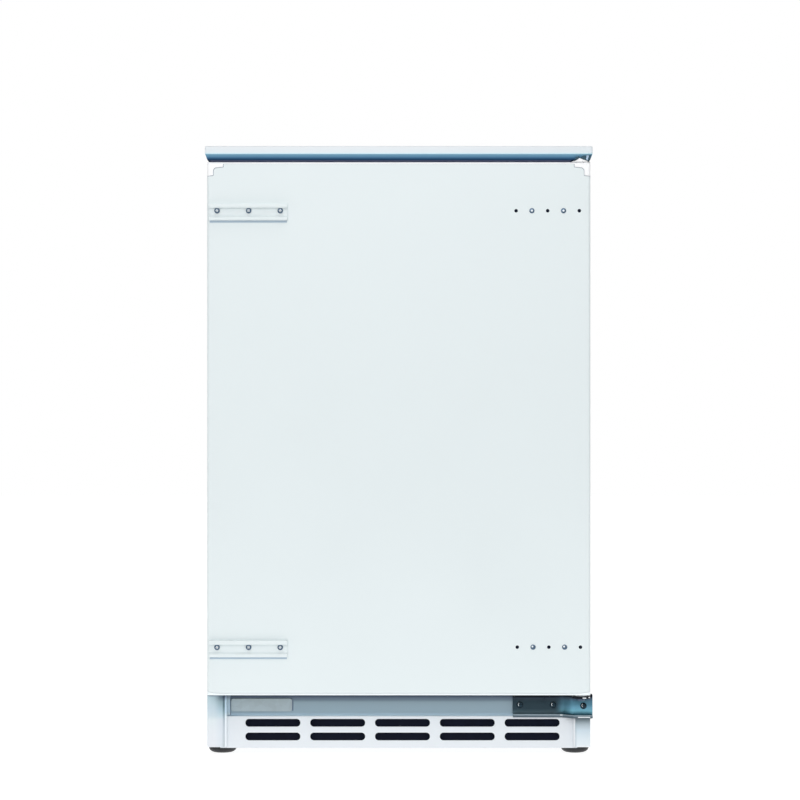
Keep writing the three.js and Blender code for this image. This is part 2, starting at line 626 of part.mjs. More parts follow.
function crisperDrawer() {
  const { halfWidth, frontY, backY, bottomZ, topZ, wall, round, gripHalfWidth } = CRISPER;
  const [outer, inner] = [0, wall].map((inset) => roundedOutline(
    -halfWidth + inset, halfWidth - inset, frontY + inset, backY - inset, round - inset,
  ));
  const drawer = cut(prism(outer, 'z', bottomZ, topZ), prism(inner, 'z', bottomZ + wall, topZ + 1));
  return join(drawer, box(-gripHalfWidth, gripHalfWidth, frontY - 4, frontY + 1, topZ - 14, topZ - 8));
}

function lampSwitchPlunger() {
  const { tipY, rearY, radius } = SWITCH;
  const length = rearY - tipY;
  return turned([
    [0, 0], [radius, 0], [radius, length - 1.5], [radius - 1, length], [0, length],
  ], 12).rotateX(Math.PI / 2);
}

// ------------------------------------------------------------------------------ hinges

// A strap on the crossrail that steps forward to the side panel, with a foot along its lower
// edge and an arm under the door.
function lowerHingeBracket() {
  const { fromX, stepX, flushX, toX, bottomZ, topZ, sheet } = BRACKET;
  const { footDeep, wrapDeep, armTall, armRadius } = BRACKET;
  const railY = CROSSRAIL.frontY - GAP;
  const flangeY = CABINET.frontY - GAP;
  const sideX = HALF_WIDTH + GAP;
  const strap = outline([
    [fromX, railY - sheet], [stepX, railY - sheet], [stepX + 4, railY - sheet - 3],
    [flushX - 4, flangeY - sheet + 3], [flushX, flangeY - sheet], [toX - 1.5, flangeY - sheet],
    [toX, flangeY - sheet + 1.5], [toX, flangeY + wrapDeep], [sideX, flangeY + wrapDeep],
    [sideX, flangeY], [flushX + 1.2, flangeY], [flushX - 2.8, flangeY + 3],
    [stepX + 5.2, railY - 3], [stepX + 1.2, railY], [fromX, railY],
  ]);
  const foot = outline([
    [fromX, railY - footDeep], [stepX - 5, railY - footDeep], [flushX - 2, flangeY - 5],
    [toX, flangeY - 5], [toX, flangeY - 1], [flushX + 1, flangeY - 1], [stepX + 2, railY - 1],
    [fromX, railY - 1],
  ]);
  const arm = new THREE.Shape();
  arm.moveTo(HINGE.x + armRadius, flangeY - 1);
  arm.lineTo(HINGE.x - armRadius, flangeY - 1);
  arm.absarc(HINGE.x, HINGE.y, armRadius, Math.PI, 2 * Math.PI);
  const plate = join(
    prism(strap, 'z', bottomZ, topZ), prism(foot, 'z', bottomZ, bottomZ + sheet),
    prism(arm, 'z', topZ - armTall, topZ, 4),
  );
  return cut(plate, rod('z', HINGE.x, HINGE.y, HINGE.pinRadius + GAP, topZ - 12, topZ + 8, 12));
}

function lowerHingePin() {
  const r = HINGE.pinRadius;
  const { lowerFrom, lowerTo, collarRadius } = PIN;
  const seatZ = BRACKET.topZ - BRACKET.armTall - GAP;
  return turned([
    [0, lowerFrom], [collarRadius - 0.5, lowerFrom], [collarRadius, lowerFrom + 1],
    [collarRadius, seatZ], [r, seatZ], [r, lowerTo - 1.5], [r - 1, lowerTo], [0, lowerTo],
  ], 16);
}

function upperHingeBracket() {
  const { sheet, armRadius, legInnerX, legBottomZ } = UPPER_BRACKET;
  const topZ = LID.undersideZ - 0.4;
  const backY = CABINET.frontY - GAP;
  const arm = new THREE.Shape();
  arm.moveTo(HINGE.x + armRadius, backY);
  arm.lineTo(HINGE.x - armRadius, backY);
  arm.absarc(HINGE.x, HINGE.y, armRadius, Math.PI, 2 * Math.PI);
  const plate = join(
    prism(arm, 'z', topZ - sheet, topZ, 4),
    box(legInnerX, HINGE.x + armRadius, backY - sheet, backY, legBottomZ, topZ),
  );
  return cut(plate, rod('z', HINGE.x, HINGE.y, HINGE.pinRadius + GAP, topZ - 4, topZ + 4, 12));
}

function upperHingePin() {
  const r = HINGE.pinRadius;
  const { upperFrom, upperTo } = PIN;
  return turned([
    [0, upperFrom], [r - 1, upperFrom], [r, upperFrom + 1.5], [r, upperTo], [0, upperTo],
  ], 16);
}

// The cap on the bracket's nose, with a low peaked lip in front of the lid's edge.
function upperHingeCover() {
  const { fromX, peakX, toX, frontY, lipThick, baseTall, lipTall } = COVER;
  const z = LID.undersideZ - 2.4;
  const base = box(fromX, toX, frontY, HINGE.y - UPPER_BRACKET.armRadius - 0.6, z, z + baseTall);
  const lip = new THREE.Shape();
  lip.moveTo(fromX, z);
  lip.lineTo(fromX, z + 0.6);
  lip.quadraticCurveTo(peakX - 4, z + 1.6, peakX, z + lipTall);
  lip.lineTo(toX, z + 0.8);
  lip.lineTo(toX, z);
  return join(base, prism(lip, 'y', frontY, frontY + lipThick, 5));
}

function bush(z0, z1, flanged) {
  const { bore, bushRadius } = HINGE;
  if (!flanged) return ring(bore, bushRadius, z0, z1, 16);
  const { flangeRadius, flangeTall } = BUSH;
  return turned([
    [bore, z0], [flangeRadius, z0], [flangeRadius, z0 + flangeTall],
    [bushRadius, z0 + flangeTall], [bushRadius, z1], [bore, z1], [bore, z0],
  ], 16);
}

function hingeBlankingPlate() {
  const { fromX, toX, bottomZ, topZ, thick, cornerRadius } = BLANKING;
  const y = CROSSRAIL.frontY - GAP;
  return prism(roundedOutline(fromX, toX, bottomZ, topZ, cornerRadius), 'y', y - thick, y, 1);
}

// -------------------------------------------------------------------------------- door

// The door's outer form between two heights, with round front edges, inset by a margin.
function doorBlock(margin, z0, z1) {
  const { halfWidth, frontY, backY, sideRound, topRound } = DOOR;
  const w = halfWidth - margin;
  const front = frontY + margin;
  const r = sideRound - margin;
  const plan = new THREE.Shape();
  plan.moveTo(w, backY);
  plan.lineTo(-w, backY);
  plan.absarc(-w + r, front + r, r, Math.PI, 1.5 * Math.PI);
  plan.absarc(w - r, front + r, r, 1.5 * Math.PI, 2 * Math.PI);
  const top = topRound - margin;
  const profile = new THREE.Shape();
  profile.moveTo(front, z0);
  profile.lineTo(backY, z0);
  profile.lineTo(backY, z1);
  profile.absarc(front + top, z1 - top, top, Math.PI / 2, Math.PI);
  return common(prism(plan, 'z', z0 - 1, z1 + 1), prism(profile, 'x', -w - 1, w + 1));
}

// The L-shaped corner lobe of the top cap on the door's front, grown by a margin.
function lobeOutline(side, margin) {
  const { acrossWide, acrossTall, downWide, downTall, fillet } = LOBE;
  const edge = DOOR.halfWidth + 1;
  const top = DOOR.topZ + 1;
  const inner = DOOR.halfWidth - acrossWide - margin;
  const low = DOOR.topZ - acrossTall - margin;
  const leg = DOOR.halfWidth - downWide - margin;
  const bottom = DOOR.topZ - downTall - margin;
  const shape = new THREE.Shape();
  shape.moveTo(side * inner, top);
  shape.lineTo(side * inner, low);
  shape.lineTo(side * (leg - fillet), low);
  shape.quadraticCurveTo(side * leg, low, side * leg, low - fillet);
  shape.lineTo(side * leg, bottom);
  shape.lineTo(side * edge, bottom);
  shape.lineTo(side * edge, top);
  return shape;
}

// The top cap's share of the door's front, as two corner lobes and the lip between them.
function topCapFront(margin, fromY, toY) {
  const lip = outline([
    [-DOOR.halfWidth - 1, DOOR.topZ + 1], [-DOOR.halfWidth - 1, DOOR.topZ - TOP_LIP.tall - margin],
    [DOOR.halfWidth + 1, DOOR.topZ - TOP_LIP.tall - margin], [DOOR.halfWidth + 1, DOOR.topZ + 1],
  ]);
  return join(...[lobeOutline(-1, margin), lobeOutline(1, margin), lip].map(
    (shape) => prism(shape, 'y', fromY, toY),
  ));
}

// The strip covered by the bottom cap, whose upper edge rises towards both corners.
function bottomLipOutline(margin) {
  const { height, cornerRise, cornerLength } = BOTTOM_LIP;
  const { halfWidth, bottomZ } = DOOR;
  const z = bottomZ + height + margin;
  const bend = halfWidth - cornerLength;
  const edge = halfWidth + 1;
  const shape = new THREE.Shape();
  shape.moveTo(-edge, bottomZ - 2);
  shape.lineTo(edge, bottomZ - 2);
  shape.lineTo(edge, z + cornerRise);
  shape.quadraticCurveTo(halfWidth - cornerLength / 3, z, bend, z);
  shape.lineTo(-bend, z);
  shape.quadraticCurveTo(-halfWidth + cornerLength / 3, z, -edge, z + cornerRise);
  return shape;
}

function railScrewHoles(radius, fromY, toY) {
  const spots = RAIL.heights.flatMap((z) => RAIL_SCREW.xs.map((x) => [x, z]));
  return spots.map(([x, z]) => rod('y', x, z, radius, fromY, toY, 8));
}

function doorSkin() {
  const { frontY, bottomZ, topZ, sheet, topReturn, backY } = DOOR;
  const outer = doorBlock(0, bottomZ, topZ);
  const inner = join(
    doorBlock(sheet, bottomZ - 5, topZ - sheet),
    box(-DOOR.halfWidth + sheet, DOOR.halfWidth - sheet, frontY + 5, backY + 5, bottomZ - 5, topZ - 5),
    box(
      -DOOR.halfWidth + sheet, DOOR.halfWidth - sheet, frontY + topReturn, backY + 5, topZ - 6, topZ + 2,
    ),
  );
  const top = topCapFront(GAP, frontY - 1, frontY + LOBE.deep + GAP);
  const bottom = prism(bottomLipOutline(GAP), 'y', frontY - 1, backY + 1);
  return cut(outer, inner, top, bottom, ...railScrewHoles(2.3, frontY - 1, frontY + 2));
}

function doorTopCap() {
  const { halfWidth, frontY, backY, topZ, sheet, topReturn } = DOOR;
  const inside = halfWidth - sheet - GAP;
  const under = box(
    -inside, inside, frontY + sheet + GAP + 1, backY, topZ - 4, topZ - sheet - GAP,
  );
  const deck = box(-inside, inside, frontY + topReturn + GAP, backY, topZ - 3, topZ - 0.2);
  const form = doorBlock(0, DOOR.bottomZ, topZ);
  const face = common(form, topCapFront(0, frontY - 1, frontY + LOBE.deep));
  const bushHole = rod('z', HINGE.x, HINGE.y, HINGE.bushRadius + GAP, topZ - 30, topZ + 2, 16);
  return cut(join(under, deck, face), bushHole);
}

function doorBottomCap() {
  const { halfWidth, frontY, backY, bottomZ } = DOOR;
  const { height, thick } = BOTTOM_LIP;
  const form = common(
    doorBlock(0, bottomZ, DOOR.topZ), prism(bottomLipOutline(0), 'y', frontY - 1, backY + 1),
  );
  const pocket = box(
    -halfWidth + thick, halfWidth - thick, frontY + thick, backY + 2, bottomZ + height, bottomZ + 20,
  );
  const bushHole = rod('z', HINGE.x, HINGE.y, HINGE.bushRadius + GAP, bottomZ - 2, bottomZ + 9, 16);
  return cut(form, pocket, bushHole);
}

// A frame with a rectangular opening, run along y.
function yFrame(halfWidth, z0, z1, wide, y0, y1) {
  return cut(
    box(-halfWidth, halfWidth, y0, y1, z0, z1),
    box(-halfWidth + wide, halfWidth - wide, y0 - 1, y1 + 1, z0 + wide, z1 - wide),
  );
}

function doorFoam() {
  const { halfWidth, frontY, backY, bottomZ, topZ, sheet } = DOOR;
  const side = halfWidth - sheet - GAP - 2;
  const backOfFoam = backY - 1.8;
  const body = box(-side, side, frontY + sheet + GAP, backOfFoam, bottomZ + 5.8, topZ - 4.3);
  const margin = DIKE.wall + GAP;
  const ridge = yFrame(
    DIKE.halfWidth - margin, DIKE.bottomZ + margin, DIKE.topZ - margin, DIKE.wide - 2 * margin,
    backOfFoam - 2, DIKE.innerY - margin,
  );
  const top = topCapFront(GAP, frontY - 1, frontY + LOBE.deep + GAP);
  const bushes = [[bottomZ, bottomZ + 16], [topZ - 20, topZ]].map(
    ([z0, z1]) => rod('z', HINGE.x, HINGE.y, HINGE.bushRadius + GAP, z0, z1, 12),
  );
  const screws = railScrewHoles(2.4, frontY - 1, frontY + 16);
  return cut(join(body, ridge), top, ...bushes, ...screws);
}

// The inner door moulding: a flat border and a raised dike that stands into the cabinet.
function doorLiner() {
  const { halfWidth, bottomZ, topZ, wide, innerY, wall } = DIKE;
  const back = DOOR.backY - wall;
  const border = DOOR_BORDER;
  const plate = box(
    -border.halfWidth, border.halfWidth, back, DOOR.backY, border.bottomZ, border.topZ,
  );
  const dike = yFrame(halfWidth, bottomZ, topZ, wide, back, innerY);
  const groove = yFrame(
    halfWidth - wall, bottomZ + wall, topZ - wall, wide - 2 * wall, back - 1, innerY - wall,
  );
  return cut(join(plate, dike), groove);
}

function doorGasket() {
  const { halfWidth, bottomZ, topZ, wide } = GASKET;
  return yFrame(halfWidth, bottomZ, topZ, wide, DOOR.backY + GAP, CABINET.frontY - GAP);
}

// An open tray between the dikes, with a low wall on the door's side.
function doorRack(z, tall, innerY) {
  const { halfWidth, backY, wall, cornerRadius, backTall } = RACK;
  const outer = roundedOutline(-halfWidth, halfWidth, backY - 20, innerY, cornerRadius);
  const inner = roundedOutline(
    -halfWidth + wall, halfWidth - wall, backY + wall, innerY - wall, cornerRadius - wall,
  );
  return cut(
    common(
      prism(outer, 'z', z, z + tall),
      box(-halfWidth - 1, halfWidth + 1, backY, innerY + 1, z - 1, z + tall + 1),
    ),
    prism(inner, 'z', z + wall, z + tall + 1),
    box(-halfWidth + wall, halfWidth - wall, backY - 1, backY + wall + 4, z + backTall, z + tall + 1),
  );
}

// The fork that slides along the bottle rack and holds bottles upright.
function bottleRetainer() {
  const { halfWidth, thick, clear, legTall, bridgeTall, prongWide, prongLong } = RETAINER;
  const wallY = BOTTLE_RACK.innerY;
  const top = BOTTLE_RACK.bottomZ + BOTTLE_RACK.tall;
  const outerLeg = wallY + clear;
  const innerLeg = wallY - RACK.wall - clear - thick;
  const bridge = box(
    -halfWidth, halfWidth, innerLeg, outerLeg + thick, top + clear, top + clear + bridgeTall,
  );
  const legs = [outerLeg, innerLeg].map(
    (y) => box(-halfWidth, halfWidth, y, y + thick, top - legTall, top + clear + 1),
  );
  const prongs = [-halfWidth, halfWidth - prongWide].map(
    (x) => box(x, x + prongWide, innerLeg - prongLong, innerLeg + 1, top - legTall + 4, top),
  );
  return join(bridge, ...legs, ...prongs);
}

// A channel for the slider of the furniture door, between two lips.
function slideRail() {
  const { fromX, toX, above, below, upperLip, lowerLip, floorY } = RAIL;
  const backY = DOOR.frontY - GAP;
  const section = outline([
    [backY, -below], [backY, above], [RAIL_FRONT_Y, above], [RAIL_FRONT_Y, above - upperLip],
    [floorY, above - upperLip], [floorY, -below + lowerLip], [RAIL_FRONT_Y, -below + lowerLip],
    [RAIL_FRONT_Y, -below],
  ]);
  const holes = RAIL_SCREW.xs.map((x) => rod('y', x, 0, 2.3, floorY - 2, backY + 2, 8));
  return cut(prism(section, 'x', fromX, toX), ...holes);
}

function railScrew() {
  const { headRadius, headTall, shankRadius } = RAIL_SCREW;
  return turned([
    [0, -12], [shankRadius, -10], [shankRadius, GAP], [headRadius, GAP],
    [headRadius, headTall - 1.2], [headRadius - 1, headTall - 0.3], [headRadius - 2.2, headTall],
    [0, headTall],
  ], 12).rotateX(Math.PI / 2);
}

// ---------------------------------------------------------------------------- assembly

const fridge = new THREE.Group();
fridge.position.z = LIFT;
const housing = new THREE.Group();
const plinth = new THREE.Group();
const machine = new THREE.Group();
const interior = new THREE.Group();
const hinges = new THREE.Group();
const door = new THREE.Group();
fridge.add(housing, plinth, machine, interior, hinges, door);

piece('lid', lid(), finish.whitePlastic, housing);
piece('side_panel_left', sidePanel(-1), finish.coatedSteel, housing);
piece('side_panel_right', sidePanel(1), finish.coatedSteel, housing);
piece('back_panel', backPanel(), finish.galvanised, housing);
piece('step_panel', stepPanel(), finish.galvanised, housing);
piece('inner_liner', innerLiner(), finish.linerPlastic, housing);
piece('foam_insulation', foamInsulation(), finish.foam, housing);

piece('crossrail', crossrail(), finish.galvanised, plinth);
piece('kick_plate', kickPlate(), finish.whitePlastic, plinth);
piece('base_tray', baseTray(), finish.galvanised, plinth);
['front', 'rear'].forEach((end, i) => {
  [['left', -1], ['right', 1]].forEach(([sideName, side]) => {
    const foot = piece(`leveling_foot_${end}_${sideName}`, levelingFoot(), finish.blackPlastic, plinth);
    foot.position.set(side * FOOT.x, FOOT.ys[i], -LIFT);
  });
});

piece('compressor', compressor(), finish.blackPaint, machine);
piece('relay_box', relayBox(), finish.blackPlastic, machine);
piece('drip_tray', dripTray(), finish.blackPlastic, machine);
piece('filter_drier', filterDrier(), finish.copper, machine).position.set(DRIER.x, DRIER.y, 0);
piece('condenser', condenser(), finish.blackPaint, machine);
piece('suction_pipe', suctionPipe(), finish.copper, machine);
piece('discharge_pipe', dischargePipe(), finish.copper, machine);
const glandRing = ring(GLAND.bore, GLAND.radius, 0, GLAND.long, 16);
const gland = piece('cord_gland', glandRing, finish.blackPlastic, machine);
gland.position.set(GLAND.x, CABINET.backY + GAP + GLAND.long, GLAND.z);
gland.rotation.x = Math.PI / 2;

piece('evaporator', evaporator(), finish.aluminium, interior);
piece('ice_box_frame', iceBoxFrame(), finish.whitePlastic, interior);
piece('ice_box_flap', iceBoxFlap(), finish.clearPlastic, interior);
piece('thermostat_housing', thermostatHousing(), finish.whitePlastic, interior);
piece('lamp_cover', lampCover(), finish.clearPlastic, interior);
const controlZ = (CONTROL.bottomZ + CONTROL.topZ) / 2;
piece('lamp_bulb', lampBulb(), finish.glass, interior)
  .position.set(CONTROL.innerX + CONTROL.lampDeep, CONTROL.lampY, controlZ);
const knob = piece('thermostat_knob', thermostatKnob(), finish.whitePlastic, interior);
knob.position.set(CONTROL.innerX, CONTROL.knobY, controlZ);
knob.rotation.y = -Math.PI / 2;
['crisper_glass_cover', 'lower_glass_shelf', 'upper_glass_shelf'].forEach((name, i) => {
  piece(name, glassShelf(SHELF.backY), finish.glass, interior).position.z = SHELF.heights[i];
});
piece('crisper_drawer', crisperDrawer(), finish.clearPlastic, interior);
piece('lamp_switch_plunger', lampSwitchPlunger(), finish.whitePlastic, interior)
  .position.set(SWITCH.x, SWITCH.rearY, SWITCH.z);

piece('lower_hinge_bracket', lowerHingeBracket(), finish.zinc, hinges);
piece('upper_hinge_bracket', upperHingeBracket(), finish.zinc, hinges);
for (const [name, pin] of [['lower_hinge_pin', lowerHingePin()], ['upper_hinge_pin', upperHingePin()]]) {
  piece(name, pin, finish.screwSteel, hinges).position.set(HINGE.x, HINGE.y, 0);
}
piece('upper_hinge_cover', upperHingeCover(), finish.whitePlastic, hinges);
piece('hinge_blanking_plate', hingeBlankingPlate(), finish.galvanised, hinges);

piece('door_skin', doorSkin(), finish.coatedSteel, door);
piece('door_foam', doorFoam(), finish.foam, door);
piece('door_liner', doorLiner(), finish.linerPlastic, door);
piece('door_top_cap', doorTopCap(), finish.whitePlastic, door);
piece('door_bottom_cap', doorBottomCap(), finish.whitePlastic, door);
piece('door_gasket', doorGasket(), finish.rubber, door);
['middle_rack', 'upper_rack'].forEach((name, i) => {
  const rack = doorRack(DOOR_RACKS.bottoms[i], DOOR_RACKS.tall, DOOR_RACKS.innerY);
  piece(name, rack, finish.clearPlastic, door);
});
piece(
  'bottle_rack', doorRack(BOTTLE_RACK.bottomZ, BOTTLE_RACK.tall, BOTTLE_RACK.innerY),
  finish.clearPlastic, door,
);
piece('bottle_retainer', bottleRetainer(), finish.whitePlastic, door);
const bushes = [
  ['hinge_bush_lower', bush(BUSH.lowerFrom, BUSH.lowerTo, true)],
  ['hinge_bush_upper', bush(BUSH.upperFrom, DOOR.topZ - BUSH.upperShort, false)],
];
for (const [name, sleeve] of bushes) {
  piece(name, sleeve, finish.whitePlastic, door).position.set(HINGE.x, HINGE.y, 0);
}
['lower', 'upper'].forEach((level, i) => {
  const rail = new THREE.Group();
  rail.position.z = RAIL.heights[i];
  door.add(rail);
  piece(`slide_rail_${level}`, slideRail(), finish.whitePlastic, rail);
  RAIL_SCREW.xs.forEach((x, n) => {
    const screw = piece(`rail_screw_${level}_${n + 1}`, railScrew(), finish.screwSteel, rail);
    screw.position.set(x, RAIL.floorY, 0);
  });
});

export default fridge;
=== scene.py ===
# Visual model of the undercounter refrigerator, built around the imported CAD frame.
# Metres, in the frame of the CAD: +X right, -Y out through the door, +Z up.
import json
import math
import bmesh
import bpy
from mathutils import Matrix, Vector


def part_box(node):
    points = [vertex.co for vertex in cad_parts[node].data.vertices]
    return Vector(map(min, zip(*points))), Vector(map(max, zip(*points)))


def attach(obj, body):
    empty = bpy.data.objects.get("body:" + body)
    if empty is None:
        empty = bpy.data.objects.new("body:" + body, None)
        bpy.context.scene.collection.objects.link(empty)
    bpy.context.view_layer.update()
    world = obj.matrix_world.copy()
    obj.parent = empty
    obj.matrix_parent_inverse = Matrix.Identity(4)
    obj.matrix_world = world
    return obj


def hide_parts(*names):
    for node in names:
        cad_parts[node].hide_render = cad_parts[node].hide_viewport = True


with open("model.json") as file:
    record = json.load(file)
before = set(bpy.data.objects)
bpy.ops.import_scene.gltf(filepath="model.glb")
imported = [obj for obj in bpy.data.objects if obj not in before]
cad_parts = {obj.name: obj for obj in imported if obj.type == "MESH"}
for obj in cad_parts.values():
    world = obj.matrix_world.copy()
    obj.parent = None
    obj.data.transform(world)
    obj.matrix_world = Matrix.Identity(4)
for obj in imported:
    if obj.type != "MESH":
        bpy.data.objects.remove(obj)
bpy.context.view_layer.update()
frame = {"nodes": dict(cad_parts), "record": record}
MM = 0.001
LIFT = 3.7           # mm from the floor to the datum that heights are measured from here
SLOT_OF = {part["node"]: part["material_slot"] for part in frame["record"]["subparts"]}
# What turns a piece that is built along +Z to face another way.
FACING = {
    "z": Matrix(), "-z": Matrix.Rotation(math.pi, 4, "X"),
    "y": Matrix.Rotation(-math.pi / 2, 4, "X"), "-y": Matrix.Rotation(math.pi / 2, 4, "X"),
    "x": Matrix.Rotation(math.pi / 2, 4, "Y"), "-x": Matrix.Rotation(-math.pi / 2, 4, "Y"),
}


# ------------------------------------------------------------------ mesh helpers
# They take millimetres. Meshes are in metres.

def m(*values):
    """Millimetres as metres."""
    return tuple(v * MM for v in values)


def link(name, mesh):
    piece = bpy.data.objects.new(name, mesh)
    bpy.context.scene.collection.objects.link(piece)
    return piece


def from_bmesh(name, bm):
    bmesh.ops.recalc_face_normals(bm, faces=bm.faces)
    mesh = bpy.data.meshes.new(name)
    bm.to_mesh(mesh)
    bm.free()
    return link(name, mesh)


def apply_modifiers(piece):
    graph = bpy.context.evaluated_depsgraph_get()
    mesh = bpy.data.meshes.new_from_object(piece.evaluated_get(graph))
    piece.modifiers.clear()
    piece.data = mesh
    return piece


def smooth(piece, angle=35):
    piece.data.shade_smooth()
    piece.data.set_sharp_from_angle(angle=math.radians(angle))
    return piece


def moved(piece, at, turn=Matrix()):
    """Turns a piece about the origin, and then moves it."""
    piece.data.transform(Matrix.Translation(m(*at)) @ turn)
    return piece


def merge_flat(piece):
    flat = piece.modifiers.new("flat", "DECIMATE")
    flat.decimate_type = "DISSOLVE"
    flat.angle_limit = math.radians(0.5)
    return piece


def soften(piece, width, segments=2, angle=40):
    """Rounds every edge sharper than the angle, after flat neighbours are merged."""
    bevel = merge_flat(piece).modifiers.new("bevel", "BEVEL")
    bevel.width = width * MM
    bevel.segments = segments
    bevel.limit_method = "ANGLE"
    bevel.angle_limit = math.radians(angle)
    return piece


def round_edges(piece, radius, segments, keep):
    """Rounds the edges that keep picks."""
    bm = bmesh.new()
    bm.from_mesh(piece.data)
    edges = [e for e in bm.edges if keep(e)]
    bmesh.ops.bevel(bm, geom=edges, offset=radius * MM, segments=segments, profile=0.5,
                    affect="EDGES", clamp_overlap=True)
    bm.to_mesh(piece.data)
    bm.free()
    return piece


def boolean(piece, tool, operation):
    step = piece.modifiers.new(operation, "BOOLEAN")
    step.operation = operation
    step.solver = "EXACT"
    step.object = tool
    apply_modifiers(piece)
    bpy.data.objects.remove(tool)
    return piece


def cut(piece, *tools):
    for tool in tools:
        boolean(piece, tool, "DIFFERENCE")
    return piece


def add(piece, *others):
    for other in others:
        boolean(piece, other, "UNION")
    return piece


def keep_common(piece, other):
    return boolean(piece, other, "INTERSECT")


def merged(name, pieces):
    """Several separate solids as one object."""
    bm = bmesh.new()
    for piece in pieces:
        bm.from_mesh(piece.data)
        bpy.data.objects.remove(piece)
    mesh = bpy.data.meshes.new(name)
    bm.to_mesh(mesh)
    bm.free()
    return smooth(link(name, mesh))


def loft(name, rings, ends="capped", angle=35):
    """A closed skin through rings of points. A ring can be a single point. The ends are capped,
    or joined to each other, or left alone as points."""
    bm = bmesh.new()
    loops = [[bm.verts.new(m(*p)) for p in ring] for ring in rings]
    pairs = list(zip(loops, loops[1:]))
    if ends == "capped":
        bm.faces.new(loops[0])
        bm.faces.new(loops[-1])
    elif ends == "joined":
        pairs.append((loops[-1], loops[0]))
    count = max(len(loop) for loop in loops)
    for low, high in pairs:
        for i in range(count):
            j = (i + 1) % count
            corners = (low[i % len(low)], low[j % len(low)], high[j % len(high)], high[i % len(high)])
            bm.faces.new(list(dict.fromkeys(corners)))
    piece = from_bmesh(name, bm)
    return smooth(piece, angle) if angle else piece


def bar(name, outline, axis, lo, hi):
    """An outline of (a, b), drawn out along an axis."""
    def at(a, b, t):
        return {"x": (t, a, b), "y": (a, t, b), "z": (a, b, t)}[axis]
    return loft(name, [[at(a, b, t) for a, b in outline] for t in (lo, hi)], angle=0)


def arc(ca, cb, radius, start, end, steps=6):
    """Points on an arc, from one angle to another in degrees."""
    points = []
    for i in range(steps + 1):
        angle = math.radians(start + (end - start) * i / steps)
        points.append((ca + radius * math.cos(angle), cb + radius * math.sin(angle)))
    return points


def round_rect(a0, a1, b0, b1, radius, steps=6):
    corners = ((a1, b1, 0), (a0, b1, 90), (a0, b0, 180), (a1, b0, 270))
    points = []
    for a, b, start in corners:
        ca = a - radius if a == a1 else a + radius
        cb = b - radius if b == b1 else b + radius
        points += arc(ca, cb, radius, start, start + 90, steps)
    return points


def frame_loop(name, x0, x1, z0, z1, profile, radius, steps):
    """A closed profile of (inset, y), run round a rectangle with round corners."""
    return loft(name, [
        [(x, y, z) for x, z in round_rect(x0 + inset, x1 - inset, z0 + inset, z1 - inset,
                                          max(radius - inset, 0.02), steps)]
        for inset, y in profile], "joined")


def brick(name, x0, x1, y0, y1, z0, z1, radius=0, segments=3, keep=lambda edge: True):
    """A block. Where a radius is given, the edges that keep picks are rounded."""
    bm = bmesh.new()
    bmesh.ops.create_cube(bm, size=1)
    lo, hi = m(x0, y0, z0), m(x1, y1, z1)
    for v in bm.verts:
        v.co = Vector([c * (b - a) + (a + b) / 2 for c, a, b in zip(v.co, lo, hi)])
    piece = from_bmesh(name, bm)
    return smooth(round_edges(piece, radius, segments, keep)) if radius else piece


def lathe(name, profile, at, axis="z", segments=48, ribs=None):
    """A turned piece. Its profile is (radius, height); ribs changes a radius by angle."""
    rings = []
    for radius, height in profile:
        ring = []
        for i in range(segments if radius else 1):
            angle = 2 * math.pi * i / segments
            r = radius + (ribs(angle, height) if ribs and radius else 0)
            ring.append((r * math.cos(angle), r * math.sin(angle), height))
        rings.append(ring)
    ends = "joined" if profile[0][0] and profile[-1][0] else "points"
    return moved(loft(name, rings, ends), at, FACING[axis])


def drill(x, z, radius, y0, y1, segments=24):
    """A round cutter along Y."""
    return lathe("drill", [(0, y0), (radius, y0), (radius, y1), (0, y1)], (x, 0, z), "y", segments)


def spline(p, per_span):
    """A smooth line through points."""
    p = [2 * p[0] - p[1]] + p + [2 * p[-1] - p[-2]]
    line = []
    for i in range(1, len(p) - 2):
        for k in range(per_span):
            t = k / per_span
            line.append(0.5 * (
                2 * p[i] + (p[i + 1] - p[i - 1]) * t
                + (2 * p[i - 1] - 5 * p[i] + 4 * p[i + 1] - p[i + 2]) * t * t
                + (3 * p[i] - p[i - 1] - 3 * p[i + 1] + p[i + 2]) * t ** 3))
    return line + [p[-2]]


def pipe(name, points, radius, sides=12, per_span=0):
    """A round pipe with closed ends through points, on a smooth line where per_span is given."""
    line = [Vector(q) for q in points]
    if per_span:
        line = spline(line, per_span)
    rings, side = [], None
    for i, q in enumerate(line):
        ahead = (line[min(i + 1, len(line) - 1)] - line[max(i - 1, 0)]).normalized()
        if side is None:
            side = ahead.orthogonal().normalized()
        side = (side - ahead * side.dot(ahead)).normalized()
        other = ahead.cross(side)
        rings.append([q + radius * (side * math.cos(a) + other * math.sin(a))
                      for a in (2 * math.pi * k / sides for k in range(sides))])
    return loft(name, rings, angle=50)


def pan_screw(name, x, y, z, axis, radius, tall, turn):
    """A domed screw head with a cross recess. Its seat is at (x, y, z) and it faces the axis."""
    dome = [(0, -0.6), (radius * 0.45, -0.6), (radius, -0.0), (radius, tall * 0.25)]
    for i in range(1, 6):
        a = math.radians(90 * i / 6)
        dome.append((radius - (1 - math.cos(a)) * radius * 0.55, tall * (0.25 + 0.75 * math.sin(a))))
    dome.append((0, tall))
    head = lathe(name, dome, (0, 0, 0), "z", 28)
    for angle in (turn, turn + 90):
        slot = brick("slot", -radius * 0.52, radius * 0.52, -0.48, 0.48, tall * 0.35, tall + 1)
        cut(head, moved(slot, (0, 0, 0), Matrix.Rotation(math.radians(angle), 4, "Z")))
    return smooth(moved(head, (x, y, z), FACING[axis]))


# --------------------------------------------------------------------- materials

def feed(owner, node, inputs):
    """Gives a node's inputs their values, or links them to the sockets that are given."""
    for name, value in inputs.items():
        if isinstance(value, bpy.types.NodeSocket):
            owner.node_tree.links.new(value, node.inputs[name])
        else:
            node.inputs[name].default_value = value
    return node


